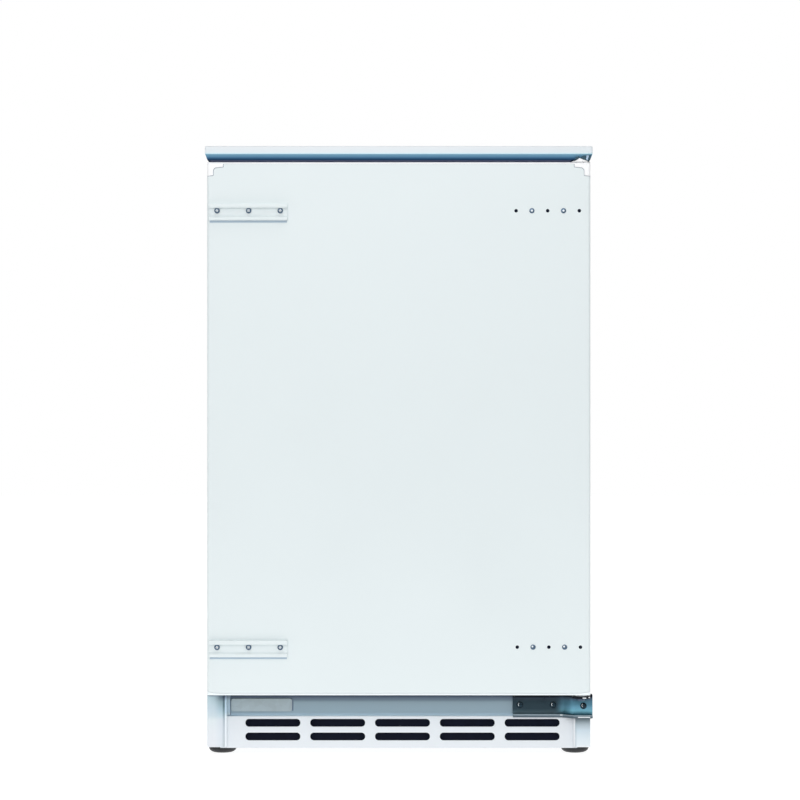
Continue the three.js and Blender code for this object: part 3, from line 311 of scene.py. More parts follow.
def add_node(owner, kind, inputs, **settings):
    node = owner.node_tree.nodes.new("ShaderNode" + kind)
    for setting, value in settings.items():
        setattr(node, setting, value)
    return feed(owner, node, inputs)


def mix(owner, factor, low, high, **settings):
    """One colour that turns into another."""
    return add_node(owner, "Mix", {0: factor, 6: low, 7: high}, data_type="RGBA",
                    **settings).outputs[2]


def split_coords(owner, kind):
    """The X, Y and Z of a kind of texture coordinates."""
    place = add_node(owner, "TexCoord", {})
    return add_node(owner, "SeparateXYZ", {"Vector": place.outputs[kind]}).outputs


def surface(name, colour, rough, metal=0.0, grain=1200, bump=0.05, mottle=0.03, patch=25,
            rough_swing=0.06, cells=0.0, brushed=None, clear=0.0, ior=1.5, coat=0.0, sheen=0.0,
            tones=None):
    """A finish with fine grain in its bump, and soft patches in its colour and gloss.
    grain and patch are per metre. cells is the contrast of a spangle of crystal cells, and
    brushed stretches the grain along one axis. tones gives the two ends of the mottling."""
    material = bpy.data.materials.new(name)
    material.use_nodes = True
    coords = grain_coords = add_node(material, "TexCoord", {}).outputs["Object"]
    if brushed:
        grain_coords = add_node(material, "Mapping",
                                {"Scale": brushed, "Vector": coords}).outputs["Vector"]
    fine = add_node(material, "TexNoise", {"Scale": grain, "Detail": 3, "Vector": grain_coords})
    soft = add_node(material, "TexNoise", {"Scale": patch, "Detail": 4, "Vector": coords})
    factor = soft.outputs["Fac"]
    if cells:
        spangle = add_node(material, "TexVoronoi", {"Scale": patch * 6, "Vector": coords})
        split = add_node(material, "SeparateColor", {"Color": spangle.outputs["Color"]})
        factor = add_node(material, "Mix", {0: cells, 2: factor, 3: split.outputs[0]}).outputs[0]
    low, high = tones or ([max(0, c * (1 - mottle)) for c in colour],
                          [min(1, c * (1 + mottle)) for c in colour])
    gloss = add_node(material, "MapRange", {
        "Value": factor, "From Min": 0.3, "From Max": 0.7,
        "To Min": max(0.02, rough - rough_swing), "To Max": rough + rough_swing})
    relief = add_node(material, "Bump", {
        "Strength": bump, "Distance": 0.4 * MM, "Height": fine.outputs["Fac"]})
    feed(material, material.node_tree.nodes["Principled BSDF"], {
        "Base Color": mix(material, factor, (*low, 1), (*high, 1)),
        "Roughness": gloss.outputs["Result"], "Normal": relief.outputs["Normal"],
        "Metallic": metal, "IOR": ior, "Transmission Weight": clear, "Coat Weight": coat,
        "Coat Roughness": 0.15, "Sheen Weight": sheen})
    return material


def srgb(r, g, b):
    """A display colour of 0 to 255 as a linear one."""
    return tuple(((c / 255 + 0.055) / 1.055) ** 2.4 if c > 10 else c / 255 / 12.92
                 for c in (r, g, b))


def height_ramp(material, height, stops):
    """A colour that follows stops of (height in mm, display colour)."""
    low, high = stops[0][0], stops[-1][0]
    span = add_node(material, "MapRange", {
        "Value": height, "From Min": (low + LIFT) * MM, "From Max": (high + LIFT) * MM})
    ramp = add_node(material, "ValToRGB", {"Fac": span.outputs["Result"]})
    points = ramp.color_ramp.elements
    while len(points) < len(stops):
        points.new(0.5)
    for point, (z, colour) in zip(points, stops):
        point.position = (z - low) / (high - low)
        point.color = (*srgb(*colour), 1)
    return ramp.outputs["Color"]


def light_and_shade_bands(name, rough, stops, other=None, fade=(0, 1), **finish):
    """A white finish, tinted by height with bands of painted light and shade. Other bands take over along X
    within fade.
    """
    plain = dict(grain=1200, bump=0.05, ior=1.2, tones=((0.94, 0.94, 0.94), (1, 1, 1)))
    material = surface(name, (1, 1, 1), rough, **{**plain, **finish})
    shader = material.node_tree.nodes["Principled BSDF"]
    mottling = shader.inputs["Base Color"].links[0].from_socket
    coords = split_coords(material, "Object")
    colour = height_ramp(material, coords["Z"], stops)
    if other:
        across = add_node(material, "MapRange", {
            "Value": coords["X"], "From Min": fade[0] * MM, "From Max": fade[1] * MM},
            interpolation_type="SMOOTHSTEP")
        colour = mix(material, across.outputs["Result"], colour,
                     height_ramp(material, coords["Z"], other))
    feed(material, shader, {"Base Color": mix(material, 1, mottling, colour, blend_type="MULTIPLY")})
    return material


# The finish of each slot: its display colour, its roughness, and what else differs.
FINISH = {name: surface(name, srgb(*colour), rough, **more) for name, colour, rough, more in (
    ("coated_steel", (227, 236, 238), 0.34, dict(
        grain=700, bump=0.10, mottle=0.012, patch=7, rough_swing=0.05)),
    ("white_plastic", (235, 240, 243), 0.38, dict(grain=2200, bump=0.10, mottle=0.012, patch=14)),
    ("liner_plastic", (238, 241, 241), 0.30, dict(
        grain=350, bump=0.05, mottle=0.008, patch=9, rough_swing=0.03)),
    ("galvanised_steel", (150, 168, 178), 0.42, dict(
        metal=0.55, grain=500, bump=0.06, mottle=0.16, patch=22, cells=0.55)),
    ("zinc_plate", (40, 58, 68), 0.24, dict(
        metal=0.9, grain=900, bump=0.08, patch=34, rough_swing=0.10,
        tones=(srgb(26, 40, 50), srgb(50, 72, 84)))),
    ("screw_steel", (176, 190, 202), 0.26, dict(
        metal=0.95, grain=2500, bump=0.08, mottle=0.08, patch=300)),
    ("insulation_foam", (226, 208, 160), 0.9, dict(grain=650, bump=0.9, mottle=0.10, patch=60)),
    ("gasket_rubber", (222, 227, 230), 0.55, dict(
        grain=1500, bump=0.12, mottle=0.03, patch=40, sheen=0.1)),
    ("black_plastic", (34, 36, 39), 0.52, dict(grain=1800, bump=0.25, mottle=0.20, patch=60)),
    ("black_paint", (24, 25, 28), 0.30, dict(
        grain=500, bump=0.12, mottle=0.25, patch=40, coat=0.3)),
    ("aluminium_sheet", (214, 218, 222), 0.34, dict(
        metal=1.0, grain=400, bump=0.10, mottle=0.06, patch=30, brushed=(1, 12, 1))),
    ("copper_pipe", (192, 116, 82), 0.28, dict(
        metal=1.0, grain=900, bump=0.08, mottle=0.14, patch=50)),
    ("clear_plastic", (236, 243, 247), 0.08, dict(
        grain=300, bump=0.02, mottle=0.01, patch=12, rough_swing=0.03, clear=0.85, ior=1.45)),
    ("shelf_glass", (226, 242, 236), 0.03, dict(
        grain=200, bump=0.01, mottle=0.01, patch=6, rough_swing=0.01, clear=0.95)),
    ("lamp_glass", (248, 246, 236), 0.35, dict(
        grain=900, bump=0.05, mottle=0.02, patch=60, clear=0.4)),
)}

# Finishes of single pieces that differ from their slot's finish.
PRINT_GREY = surface("print_grey", srgb(96, 108, 118), 0.5, grain=2500, patch=200)
# Near-black blue: painted shade for the insides of slots and holes.
HOLE_SHADE = surface("hole_painted_shade", srgb(23, 27, 42), 0.9, grain=900, bump=0.1, mottle=0.3, patch=90,
                     ior=1.2)
# The caps' white plastic, raised to full white: partly the plastic's colour, partly a painted highlight
# along the door's top edge.
CAP_WHITE_HIGHLIT = surface("cap_white_painted_highlight", srgb(252, 253, 255), 0.36, grain=2200, bump=0.08, mottle=0.005)
# The bottom cap's strip, brighter and bluer than the door: a painted highlight along the door's bottom
# edge.
LIP_WHITE_HIGHLIT = surface("lip_white_painted_highlight", srgb(242, 251, 255), 0.38, grain=2200, bump=0.08, mottle=0.005)
KICK_WHITE = surface("kick_white", srgb(225, 230, 235), 0.38, grain=2200, bump=0.10, mottle=0.012)
# A dark grey for painted shadow lines: round the door's top cap, at the crossrail's end tab, and at the
# blanking plate's edge.
SHADE_LINE = surface("painted_shade_line", srgb(122, 138, 160), 0.8, grain=900, bump=0.1, mottle=0.1)
RIVET_DARK = surface("rivet_dark", srgb(84, 106, 128), 0.3, metal=0.6, grain=2500, bump=0.1,
                     mottle=0.2, patch=400)
# White for painted highlights: rivet centres, screw recesses and glints on the lower bracket.
PAINTED_HIGHLIGHT = surface("painted_highlight_white", srgb(244, 249, 252), 0.35, grain=2500, patch=400)
GLINT = surface("glint", srgb(168, 194, 220), 0.4, grain=2500, mottle=0.05, patch=300)
# Grey-blue for the shaded gap under the lid: painted shade.
GAP_SHADE_GREY = surface("gap_shade_grey", srgb(76, 84, 110), 0.6, grain=900, bump=0.1, mottle=0.06, ior=1.2)
RAIL_SHADE = surface("rail_shade", srgb(182, 200, 216), 0.7, grain=900, bump=0.1)
GAP_COVER_SHADE = surface("gap_cover_painted_shade", srgb(214, 228, 238), 0.6, grain=900, bump=0.1, mottle=0.05)
BLANK_STEEL = surface("blank_steel", srgb(166, 181, 188), 0.42, metal=0.5, grain=500, bump=0.06,
                      mottle=0.12, patch=22, cells=0.5)
# The lid's white, with a painted highlight along the lower edge of its front face.
LID_WHITE_HIGHLIT = light_and_shade_bands(
    "lid_white_painted_highlight", 0.38,
    [(839.1, (222, 249, 255)), (839.9, (219, 245, 253)), (840.9, (227, 236, 242)),
     (850, (230, 236, 240))], grain=2200, bump=0.08, ior=1.5)
# Painted shade on the trim under the lid: dark blue at its lower edge, lighter upwards.
TRIM_PAINTED_SHADE = light_and_shade_bands(
    "trim_painted_shade", 0.6,
    [(830.5, (28, 56, 88)), (831.4, (33, 65, 97)), (832.8, (48, 89, 124)), (834.1, (73, 117, 151)),
     (835.5, (98, 144, 176)), (836.8, (103, 151, 180)), (838.2, (131, 175, 199)),
     (839.1, (160, 200, 220))])
# The crossrail's grey, with the door's shadow painted dark along its top and painted light at its foot by
# the kick plate.
CROSSRAIL_SHADE = light_and_shade_bands(
    "crossrail_painted_shade", 0.5,
    [(50, (200, 225, 241)), (52.4, (184, 207, 223)), (54.6, (160, 182, 195)),
     (66, (156, 177, 190)), (69.1, (152, 173, 186)), (72, (124, 143, 159)),
     (74.8, (112, 127, 147)), (77.6, (79, 90, 110)), (80, (50, 58, 74)), (84.5, (34, 40, 56))],
    metal=0.2)
# Painted shade on the flange facings: darker up under the door, and on the right under the bracket.
FLANGE_LEFT_SHADE = light_and_shade_bands(
    "flange_left_painted_shade", 0.5,
    [(8, (230, 234, 240)), (31, (229, 235, 240)), (45, (226, 235, 239)), (51, (212, 226, 233)),
     (60, (206, 222, 232)), (76, (198, 220, 228)), (78.4, (190, 211, 221)),
     (79.8, (136, 152, 166)), (84, (116, 130, 146))],
    [(8, (223, 231, 238)), (31, (222, 230, 238)), (45, (221, 229, 237)), (51, (203, 222, 231)),
     (60, (180, 206, 218)), (71, (158, 182, 191)), (77, (112, 130, 144)), (84, (96, 112, 128))],
    fade=(-262, -249))
FLANGE_RIGHT_SHADE = light_and_shade_bands(
    "flange_right_painted_shade", 0.5,
    [(6, (244, 249, 253)), (11, (228, 238, 244)), (17, (224, 235, 242)), (31, (206, 222, 232)),
     (38, (182, 197, 206)), (45, (138, 153, 161)), (50, (96, 110, 120)), (84, (80, 94, 104))])
# Painted shade in the gaps beside the kick plate, darker towards the top.
GAP_SHADE_RIGHT = light_and_shade_bands(
    "gap_painted_shade_right", 0.6,
    [(7, (205, 216, 225)), (20, (206, 217, 226)), (31, (190, 205, 215)), (38, (172, 190, 200)),
     (45, (128, 142, 150)), (50, (90, 104, 114)), (84, (76, 88, 98))])
GAP_SHADE_LEFT = light_and_shade_bands(
    "gap_painted_shade_left", 0.7,
    [(6, (205, 214, 219)), (31, (201, 210, 219)), (45, (194, 205, 215)), (51, (168, 188, 198)),
     (57, (146, 170, 180)), (65, (112, 137, 146)), (71, (116, 136, 147)), (77, (84, 98, 114)),
     (84, (60, 70, 86))])
# The lower bracket's dark zinc, with painted shadow of the door along its top and painted reflections that
# brighten its right end.
BRACKET_LIGHT_AND_SHADE = light_and_shade_bands(
    "bracket_painted_light_and_shade", 0.38,
    [(50, (96, 116, 125)), (54.5, (94, 114, 122)), (56.5, (68, 90, 98)), (60, (48, 68, 78)),
     (70, (48, 68, 78)), (73, (56, 71, 82)), (74.6, (62, 74, 88)), (76, (42, 52, 66)),
     (77.2, (16, 22, 34)), (82, (12, 16, 26))],
    [(50, (74, 106, 118)), (53.5, (70, 118, 134)), (58.7, (126, 189, 208)),
     (62.9, (120, 177, 202)), (67, (100, 152, 174)), (71.4, (93, 141, 163)),
     (75.6, (84, 104, 124)), (78.4, (20, 28, 46)), (82, (12, 16, 26))],
    fade=(220, 240), metal=0.7, grain=900, bump=0.1, patch=60, rough_swing=0.14, ior=1.5,
    tones=((0.6, 0.66, 0.7), (1, 1, 1)))
# The bracket's foot and lip, with a painted highlight along the top of the lip.
BRACKET_EDGE_HIGHLIT = light_and_shade_bands(
    "bracket_edge_painted_highlight", 0.4,
    [(48.2, (84, 98, 108)), (51, (88, 104, 114)), (51.6, (146, 164, 173)),
     (52.6, (148, 166, 175)), (53.4, (96, 116, 125))],
    metal=0.3, grain=900, patch=120, ior=1.5, tones=((0.88, 0.9, 0.92), (1, 1, 1)))
# Painted light and shade on the crossrail's end tab: dark under the door, brightened below, with the bead
# as a light line.
TAB_LIGHT_AND_SHADE = light_and_shade_bands(
    "tab_painted_light_and_shade", 0.5,
    [(6, (240, 247, 253)), (44, (238, 246, 252)), (50, (236, 249, 255)), (56, (212, 236, 252)),
     (72, (206, 230, 246)), (76, (160, 180, 202)), (80, (110, 122, 146))])


def dress(piece, body, slot_name, replaced=(), material=None):
    """Gives a new piece its height, its finish, its body and the CAD nodes it stands for."""
    moved(piece, (0, 0, LIFT))
    piece.data.materials.clear()
    piece.data.materials.append(material or FINISH[slot_name])
    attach(piece, body)
    if replaced:
        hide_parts(*replaced)
    return piece


def keep_node(name, width=0.4, segments=2, angle=40, material=None):
    """Finishes a CAD node that keeps its own shape, with small rounds on its edges in mm."""
    piece = frame["nodes"][name]
    finish = material or FINISH[SLOT_OF[name]]
    if piece.material_slots:
        piece.material_slots[0].material = finish
    else:
        piece.data.materials.append(finish)
    smooth(piece)
    if width:
        soften(piece, width, segments, angle)
    return piece


def box_mm(name):
    """A node's corners in millimetres, with heights over the datum."""
    lo, hi = ([v / MM for v in corner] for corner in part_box(name))
    return [*lo[:2], lo[2] - LIFT], [*hi[:2], hi[2] - LIFT]


# ----------------------------------------------------------------- the outer housing

(LX0, LY0, LZ0), (LX1, LY1, LZ1) = box_mm("lid")
EDGE_Z = 839.1       # the lower edge of the lid's upright front face
BEVEL, SIDE_BEVEL = 4.6, 3.4     # how far the trim under it runs in, at the front and sides
LID_ROUND, LID_TOP = 2.2, 4
LID_RECESS = (LX0 + 14, LX1 - 14, -186, 216)


def lid_edge_is_round(edge):
    """The edges round the top and the upright corners are rounded."""
    low, high = sorted(v.co.z / MM - LZ1 for v in edge.verts)
    return low > -1 or high - low > 1


lid = brick("lid_top", LX0, LX1, LY0, LY1, EDGE_Z, LZ1, LID_ROUND, 5, lid_edge_is_round)
cut(lid, brick("recess", *LID_RECESS, EDGE_Z - 1, LZ1 - LID_TOP))
dress(smooth(soften(lid, 0.3, 2, 50)), "cabinet", "white_plastic", ["lid"], LID_WHITE_HIGHLIT)


# The trim under the lid, inset from the lid's sides and front, coloured with painted shade.
trim = loft("lid_edge_trim", [
    [(LX0 + side, LY1, z), (LX0 + side, LY0 + front, z), (LX1 - side, LY0 + front, z),
     (LX1 - side, LY1, z)]
    for side, front, z in ((SIDE_BEVEL, BEVEL, LZ0), (0.2, 0.3, EDGE_Z))], angle=0)
cut(trim, brick("recess", *LID_RECESS, LZ0 - 1, EDGE_Z + 1))
dress(soften(trim, 0.3, 2, 30), "cabinet", "white_plastic", material=TRIM_PAINTED_SHADE)
# A grey strip standing for the shaded gap between the lid and the door: painted shade.
dress(brick("lid_gap_painted_shade", -263, 240, -240.6, -236, 828.5, 830.3, 0.3, 2), "cabinet",
      "white_plastic", material=GAP_SHADE_GREY)

for name in ("side_panel_left", "side_panel_right"):
    keep_node(name, 0.35, 2)
keep_node("back_panel", 0.3)
keep_node("step_panel", 0.3)
keep_node("foam_insulation", 0)

# The back panel's screws: a row along its top edge and a column at each side.
_, (_, BACK_Y, BACK_TOP) = box_mm("back_panel")
BACK_SCREW = (3.6, 1.8)
heads = [pan_screw("s", x, BACK_Y, BACK_TOP - 9, "y", *BACK_SCREW, 20 + x)
         for x in (-230, -115, 0, 115, 230)]
heads += [pan_screw("s", side * 241, BACK_Y, z, "y", *BACK_SCREW, z)
          for side in (-1, 1) for z in (290, 420, 550, 680)]
dress(merged("back_panel_screws", heads), "cabinet", "screw_steel")

# --------------------------------------------------------------------------- plinth

# The crossrail carries painted shade from the door above it.
keep_node("crossrail", 0.5, material=CROSSRAIL_SHADE)
CROSSRAIL_Y = box_mm("crossrail")[0][1]
# The crossrail's end tab, and a bead beside the kick plate's left edge, both coloured with painted light
# and shade.
TAB_Z = (50.5, 83.5)
tabs = [brick("tab", -246.2, -238.5, CROSSRAIL_Y - 1.2, CROSSRAIL_Y, *TAB_Z, 0.3, 2),
        brick("bead", -245.4, -242.8, -188.5, -181.1, 7.5, TAB_Z[1], 0.3, 2)]
dress(merged("crossrail_end_tab", tabs), "cabinet", "galvanised_steel", material=TAB_LIGHT_AND_SHADE)
# A dark strip of painted shade where the end tab meets the crossrail.
dress(brick("crossrail_end_shade_line", -238.5, -237.4, CROSSRAIL_Y - 0.5, CROSSRAIL_Y, *TAB_Z, 0.1),
      "cabinet", "galvanised_steel", material=SHADE_LINE)
# A thin strip over the gap between the kick plate and the crossrail, tinted as painted shade between the
# two.
dress(brick("plinth_gap_painted_shade", -247, 247, -180.6, -173.4, 49.72, 49.98, 0.05), "cabinet",
      "gasket_rubber", material=GAP_COVER_SHADE)
# A dark strip of painted shade along the blanking plate's right edge.
dress(brick("blanking_plate_edge_shade", -151.2, -149.0, CROSSRAIL_Y - 0.4, CROSSRAIL_Y, 57, 74, 0.15),
      "cabinet", "galvanised_steel", material=SHADE_LINE)

# Thin facings over the side panels' flanges, coloured with painted shade under the door and the bracket,
# with a dark strip of painted shade in the gap beside each.
FACING_Y, SEAM_BACK_Y = (-189.35, -189.05), -181.3
FACING_Z = (7.2, 84)
FACING_END_X = 269.7
for name, ends, depth, round_edge, tone in (
        ("flange_facing_left", (-FACING_END_X, -248.2), FACING_Y, 0.1, FLANGE_LEFT_SHADE),
        ("flange_facing_right", (250.3, FACING_END_X), FACING_Y, 0.1, FLANGE_RIGHT_SHADE),
        ("flange_seam_left", (-248.1, -245.5), (-188.9, SEAM_BACK_Y), 0.1, GAP_SHADE_LEFT),
        ("flange_seam_right", (248.8, 250.2), (-189.25, FACING_Y[1]), 0.05, GAP_SHADE_RIGHT)):
    dress(brick(name, *ends, *depth, *FACING_Z, round_edge), "cabinet", "coated_steel",
          material=tone)
RETURN_X, RETURN_Z = 246.3, (FACING_Z[0], 48)
edge = [brick("face", RETURN_X, 248.75, *FACING_Y, *RETURN_Z, 0.1),
        brick("leg", RETURN_X, RETURN_X + 0.6, -189.2, SEAM_BACK_Y, *RETURN_Z, 0.1)]
dress(merged("plinth_return_right", edge), "cabinet", "white_plastic", material=KICK_WHITE)

keep_node("base_tray", 0.4)
keep_node("hinge_blanking_plate", 0.6, 3, material=BLANK_STEEL)

(KX0, KY0, KZ0), (KX1, KY1, KZ1) = box_mm("kick_plate")
SLOT_WIDE, SLOT_TALL, SLOT_PITCH, SLOT_SHIFT, SLOT_ROWS = 77.5, 11.0, 91.5, 5.2, (21.2, 40.5)
KICK_WALL = 2
kick = brick("kick_plate_grille", KX0, KX1, KY0, KY0 + KICK_WALL, KZ0, KZ1)
for side in (KX0, KX1 - KICK_WALL):
    add(kick, brick("end", side, side + KICK_WALL, KY0, KY1, KZ0, KZ1))
for z in SLOT_ROWS:
    for i in range(-2, 3):
        x = SLOT_SHIFT + i * SLOT_PITCH
        cut(kick, bar("slot", round_rect(
            x - SLOT_WIDE / 2, x + SLOT_WIDE / 2, z - SLOT_TALL / 2, z + SLOT_TALL / 2,
            SLOT_TALL * 0.47, 8), "y", KY0 - 1, KY0 + 3))
dress(smooth(soften(kick, 0.25, 2)), "cabinet", "white_plastic", ["kick_plate"],
      KICK_WHITE)
# A dark sheet behind the slots: painted shade for the space behind the grille.
dress(brick("plinth_slot_shade_sheet", -236, 236, KY1 + 2, KY1 + 4, KZ0 + 3, 48.5, 0.5), "cabinet",
      "black_plastic", material=HOLE_SHADE)

# Levelling feet: a round pad with a knurled edge, a collar and a threaded stem.
THREAD_R, THREAD_ROOT, THREAD_PITCH, THREAD_Z0, THREAD_Z1, STEM_TOP = 4.0, 3.45, 1.25, 15.5, 73, 76
foot_profile = [(0, 0.3), (9.6, 0.3), (10, 0.0), (13.4, 0.6), (16.2, 1.8), (18.2, 3.5), (19.3, 5.4),
                (19.6, 6.8), (19.6, 8.7), (19.2, 9.3), (18.4, 9.5), (7.4, 9.5), (7.0, 9.9),
                (7.0, 14.0), (6.6, 14.6), (THREAD_R, THREAD_Z0)]
z = THREAD_Z0
while z < THREAD_Z1:
    foot_profile += [(THREAD_R, z + 0.15), (THREAD_ROOT, z + 0.65), (THREAD_R, z + 1.15)]
    z += THREAD_PITCH
foot_profile += [(3.3, STEM_TOP - 0.1), (0, STEM_TOP)]
for end in ("front", "rear"):
    for side in ("left", "right"):
        name = f"leveling_foot_{end}_{side}"
        lo, hi = box_mm(name)
        at = ((lo[0] + hi[0]) / 2, (lo[1] + hi[1]) / 2, lo[2])
        foot = lathe(f"{name}_turned", foot_profile, at, "z", 72,
                     lambda a, h: -0.35 * (math.cos(18 * a) > 0) if 5.5 < h < 9 else 0)
        dress(foot, f"foot_{end}_{side}", "black_plastic", [name])

# --------------------------------------------------------------- machine compartment

# Compressor: a domed shell with a rolled seam, on a plate with four rubber mounts.
CX, CY = 60, 158
PIPE_STUBS = ((158, 140, 5), (170, 82, 4))      # y, z and radius of the suction and discharge stubs
MOUNT_OUT_X, MOUNT_OUT_Y = 74, 46
shell = lathe("compressor_shell", [
    (0, 37), (38, 37), (47, 38.6), (56, 43), (62, 52), (65, 61), (66, 66), (66, 112.6), (68.2, 113),
    (69, 113.8), (69, 118.2), (68.2, 119), (65, 119.3), (64.4, 130), (62, 148), (57, 161), (50, 172),
    (40, 179), (28, 183.4), (14, 186), (0, 187)], (CX, CY, 0), "z", 72)
plate = bar("plate", round_rect(CX - 85, CX + 85, CY - 57, CY + 57, 12, 6), "z", 36, 38.5)
stubs = [pipe("stub", [(x, y, z) for x in (-13.7, 0, 12)], r, 16) for y, z, r in PIPE_STUBS]
collars = [lathe("collar", [(0, 0), (r + 2, 0), (r + 2, 3), (r + 0.8, 4), (0, 4)],
                 (-6.4, y, z), "-x", 24) for y, z, r in PIPE_STUBS]
dress(merged("compressor_body", [shell, plate, *stubs, *collars]), "cabinet", "black_paint",
      ["compressor"])
mounts, bolts = [], []
for sx in (-1, 1):
    for sy in (-1, 1):
        foot = (CX + sx * MOUNT_OUT_X, CY + sy * MOUNT_OUT_Y, 0)
        mounts.append(lathe("m", [(0, 29.6), (9, 29.6), (9.6, 31), (8.2, 33), (9.6, 35), (9.6, 35.8),
                                  (0, 35.8)], foot, "z", 28))
        mounts.append(lathe("m", [(0, 38.6), (7, 38.6), (7, 41), (6, 42), (0, 42)], foot, "z", 28))
        bolts.append(lathe("b", [(0, 42), (4.6, 42), (4.6, 45), (4.0, 45.6), (0, 45.6)], foot, "z", 6))
dress(merged("compressor_grommets", mounts), "cabinet", "gasket_rubber")
dress(merged("compressor_bolts", bolts), "cabinet", "screw_steel")

# Relay box: a cover with a stepped nose, a clip and cooling ribs.
(RX0, RY0, RZ0), (RX1, RY1, RZ1) = box_mm("relay_box")
relay = [brick("r", RX0, RX0 + 26, RY0, RY1, RZ0, RZ1, 3.5, 4),
         brick("r", RX0 + 25, RX1, RY0 + 7, RY1 - 7, RZ0 + 7, RZ1 - 7, 3, 4),
         brick("r", RX1 - 1.2, RX1, (RY0 + RY1) / 2 - 3, (RY0 + RY1) / 2 + 3, RZ0 + 3, RZ1 - 3, 0.5)]
relay += [brick("r", RX0 + 6 + i * 4, RX0 + 8 + i * 4, RY1 - 0.6, RY1, RZ0 + 10, RZ1 - 10)
          for i in range(4)]
dress(merged("relay_box_cover", relay), "cabinet", "black_plastic", ["relay_box"])

(DX0, DY0, DZ0), (DX1, DY1, DZ1) = box_mm("drip_tray")


def tub_rings(x0, x1, y0, y1, z0, z1, radius, wall, taper, lip, steps=6):
    """Rings for an open tub with sloping walls and a turned-out lip."""
    def ring(inset, z):
        loop = round_rect(x0 + inset, x1 - inset, y0 + inset, y1 - inset, max(radius - inset, 1), steps)
        return [(x, y, z) for x, y in loop]
    return [ring(taper + lip + 2, z0), ring(taper + lip + 0.6, z0 + 0.5), ring(taper + lip, z0 + 2),
            ring(lip, z1 - 2.5), ring(0.4, z1 - 1.9), ring(0, z1 - 1.3), ring(0, z1 - 0.5),
            ring(0.4, z1), ring(lip + wall - 0.4, z1), ring(lip + wall, z1 - 0.4),
            ring(taper + lip + wall, z0 + wall + 2), ring(taper + lip + wall + 1.6, z0 + wall)]


dress(loft("drip_tray_tub", tub_rings(DX0, DX1, DY0, DY1, DZ0, DZ1, 14, 1.4, 3, 2.2)), "cabinet",
      "black_plastic", ["drip_tray"])

# Filter drier: a copper shell, spun to a neck at both ends.
drier_lo, drier_hi = box_mm("filter_drier")
DRX, DRY = (drier_lo[0] + drier_hi[0]) / 2, (drier_lo[1] + drier_hi[1]) / 2
dress(lathe("filter_drier_shell", [
    (0, 75), (2.5, 75), (2.5, 83), (2.9, 84.5), (4.2, 86), (7.2, 90), (8, 92.5), (8, 98), (7.5, 98.8),
    (7.5, 100), (8, 100.8), (8, 160), (7.5, 160.8), (7.5, 162), (8, 162.8), (8, 168), (7.4, 171),
    (4.6, 176), (3.4, 178.5), (3.2, 181), (3.2, 188), (0, 188)], (DRX, DRY, 0), "z", 40),
    "cabinet", "copper_pipe", ["filter_drier"])
# The capillary tube leaves the drier, makes three flat turns and climbs to the back panel.
COIL_TURNS, COIL_STEPS, COIL_R, COIL_X, COIL_Y = 3, 16, 18, DRX + 26, DRY - 14
coil = [(DRX, DRY, 74.6), (DRX, DRY, 66), (DRX + 6, DRY - 4, 58)]
for i in range(COIL_TURNS * COIL_STEPS + 1):
    a = 2 * math.pi * i / COIL_STEPS - 0.6
    coil.append((COIL_X + COIL_R * math.cos(a), COIL_Y + COIL_R * math.sin(a), 56 + i * 0.16))
coil += [(DRX + 52, DRY - 20, 78), (DRX + 66, DRY - 24, 130), (DRX + 68, DRY - 24, 200),
         (DRX + 68, DRY - 24, 239)]
dress(pipe("capillary_tube", coil, 1, 8, 3), "cabinet", "copper_pipe")

# Condenser: a tube that winds down between upright wires, held by two bent steel strips.
TUBE_Y, TUBE_R, RUNS, TOP_Z, PITCH, HALF_RUN, RISER_X = 243, 2.5, 10, 788, 52, 200, -232
TOP_BEND = 32
WIRES, WIRE_PITCH, WIRE_R, WIRE_OFF = 49, 8, 0.75, 3.2
STRIP_X, STRIP_WIDE, STRIP_THICK = 150, 10, 1.6
line = [(RISER_X, TUBE_Y, 200.1), (RISER_X, TUBE_Y, 300)]
line += [(x, TUBE_Y, z) for x, z in [(RISER_X, TOP_Z - TOP_BEND)] + arc(
    RISER_X + TOP_BEND, TOP_Z - TOP_BEND, TOP_BEND, 170, 90, 8)]
for i in range(RUNS):
    z = TOP_Z - i * PITCH
    side = 1 if i % 2 == 0 else -1
    line += [(-side * (HALF_RUN - 0.5), TUBE_Y, z), (side * (HALF_RUN - 0.5), TUBE_Y, z)]
    if i < RUNS - 1:
        line += [(side * x, TUBE_Y, bend_z)
                 for x, bend_z in arc(HALF_RUN, z - PITCH / 2, PITCH / 2, 80, -80, 16)]
BOTTOM_Z = TOP_Z - (RUNS - 1) * PITCH
tail = [(-HALF_RUN + 1, TUBE_Y, BOTTOM_Z), (-HALF_RUN - 10, TUBE_Y, BOTTOM_Z - 3),
        (-HALF_RUN - 14, TUBE_Y, BOTTOM_Z - 20), (-HALF_RUN - 12, TUBE_Y, 250),
        (DRX - 8, DRY + 40, 222), (DRX, DRY + 2, 208), (DRX, DRY, 188.2)]
grid = [pipe("tube", line, TUBE_R), pipe("tube", tail, TUBE_R, per_span=7)]
for i in range(WIRES):
    x = (i - WIRES // 2) * WIRE_PITCH
    for y in (TUBE_Y - WIRE_OFF, TUBE_Y + WIRE_OFF):
        grid.append(pipe("wire", [(x, y, BOTTOM_Z - 9), (x, y, TOP_Z + 9)], WIRE_R, 6))
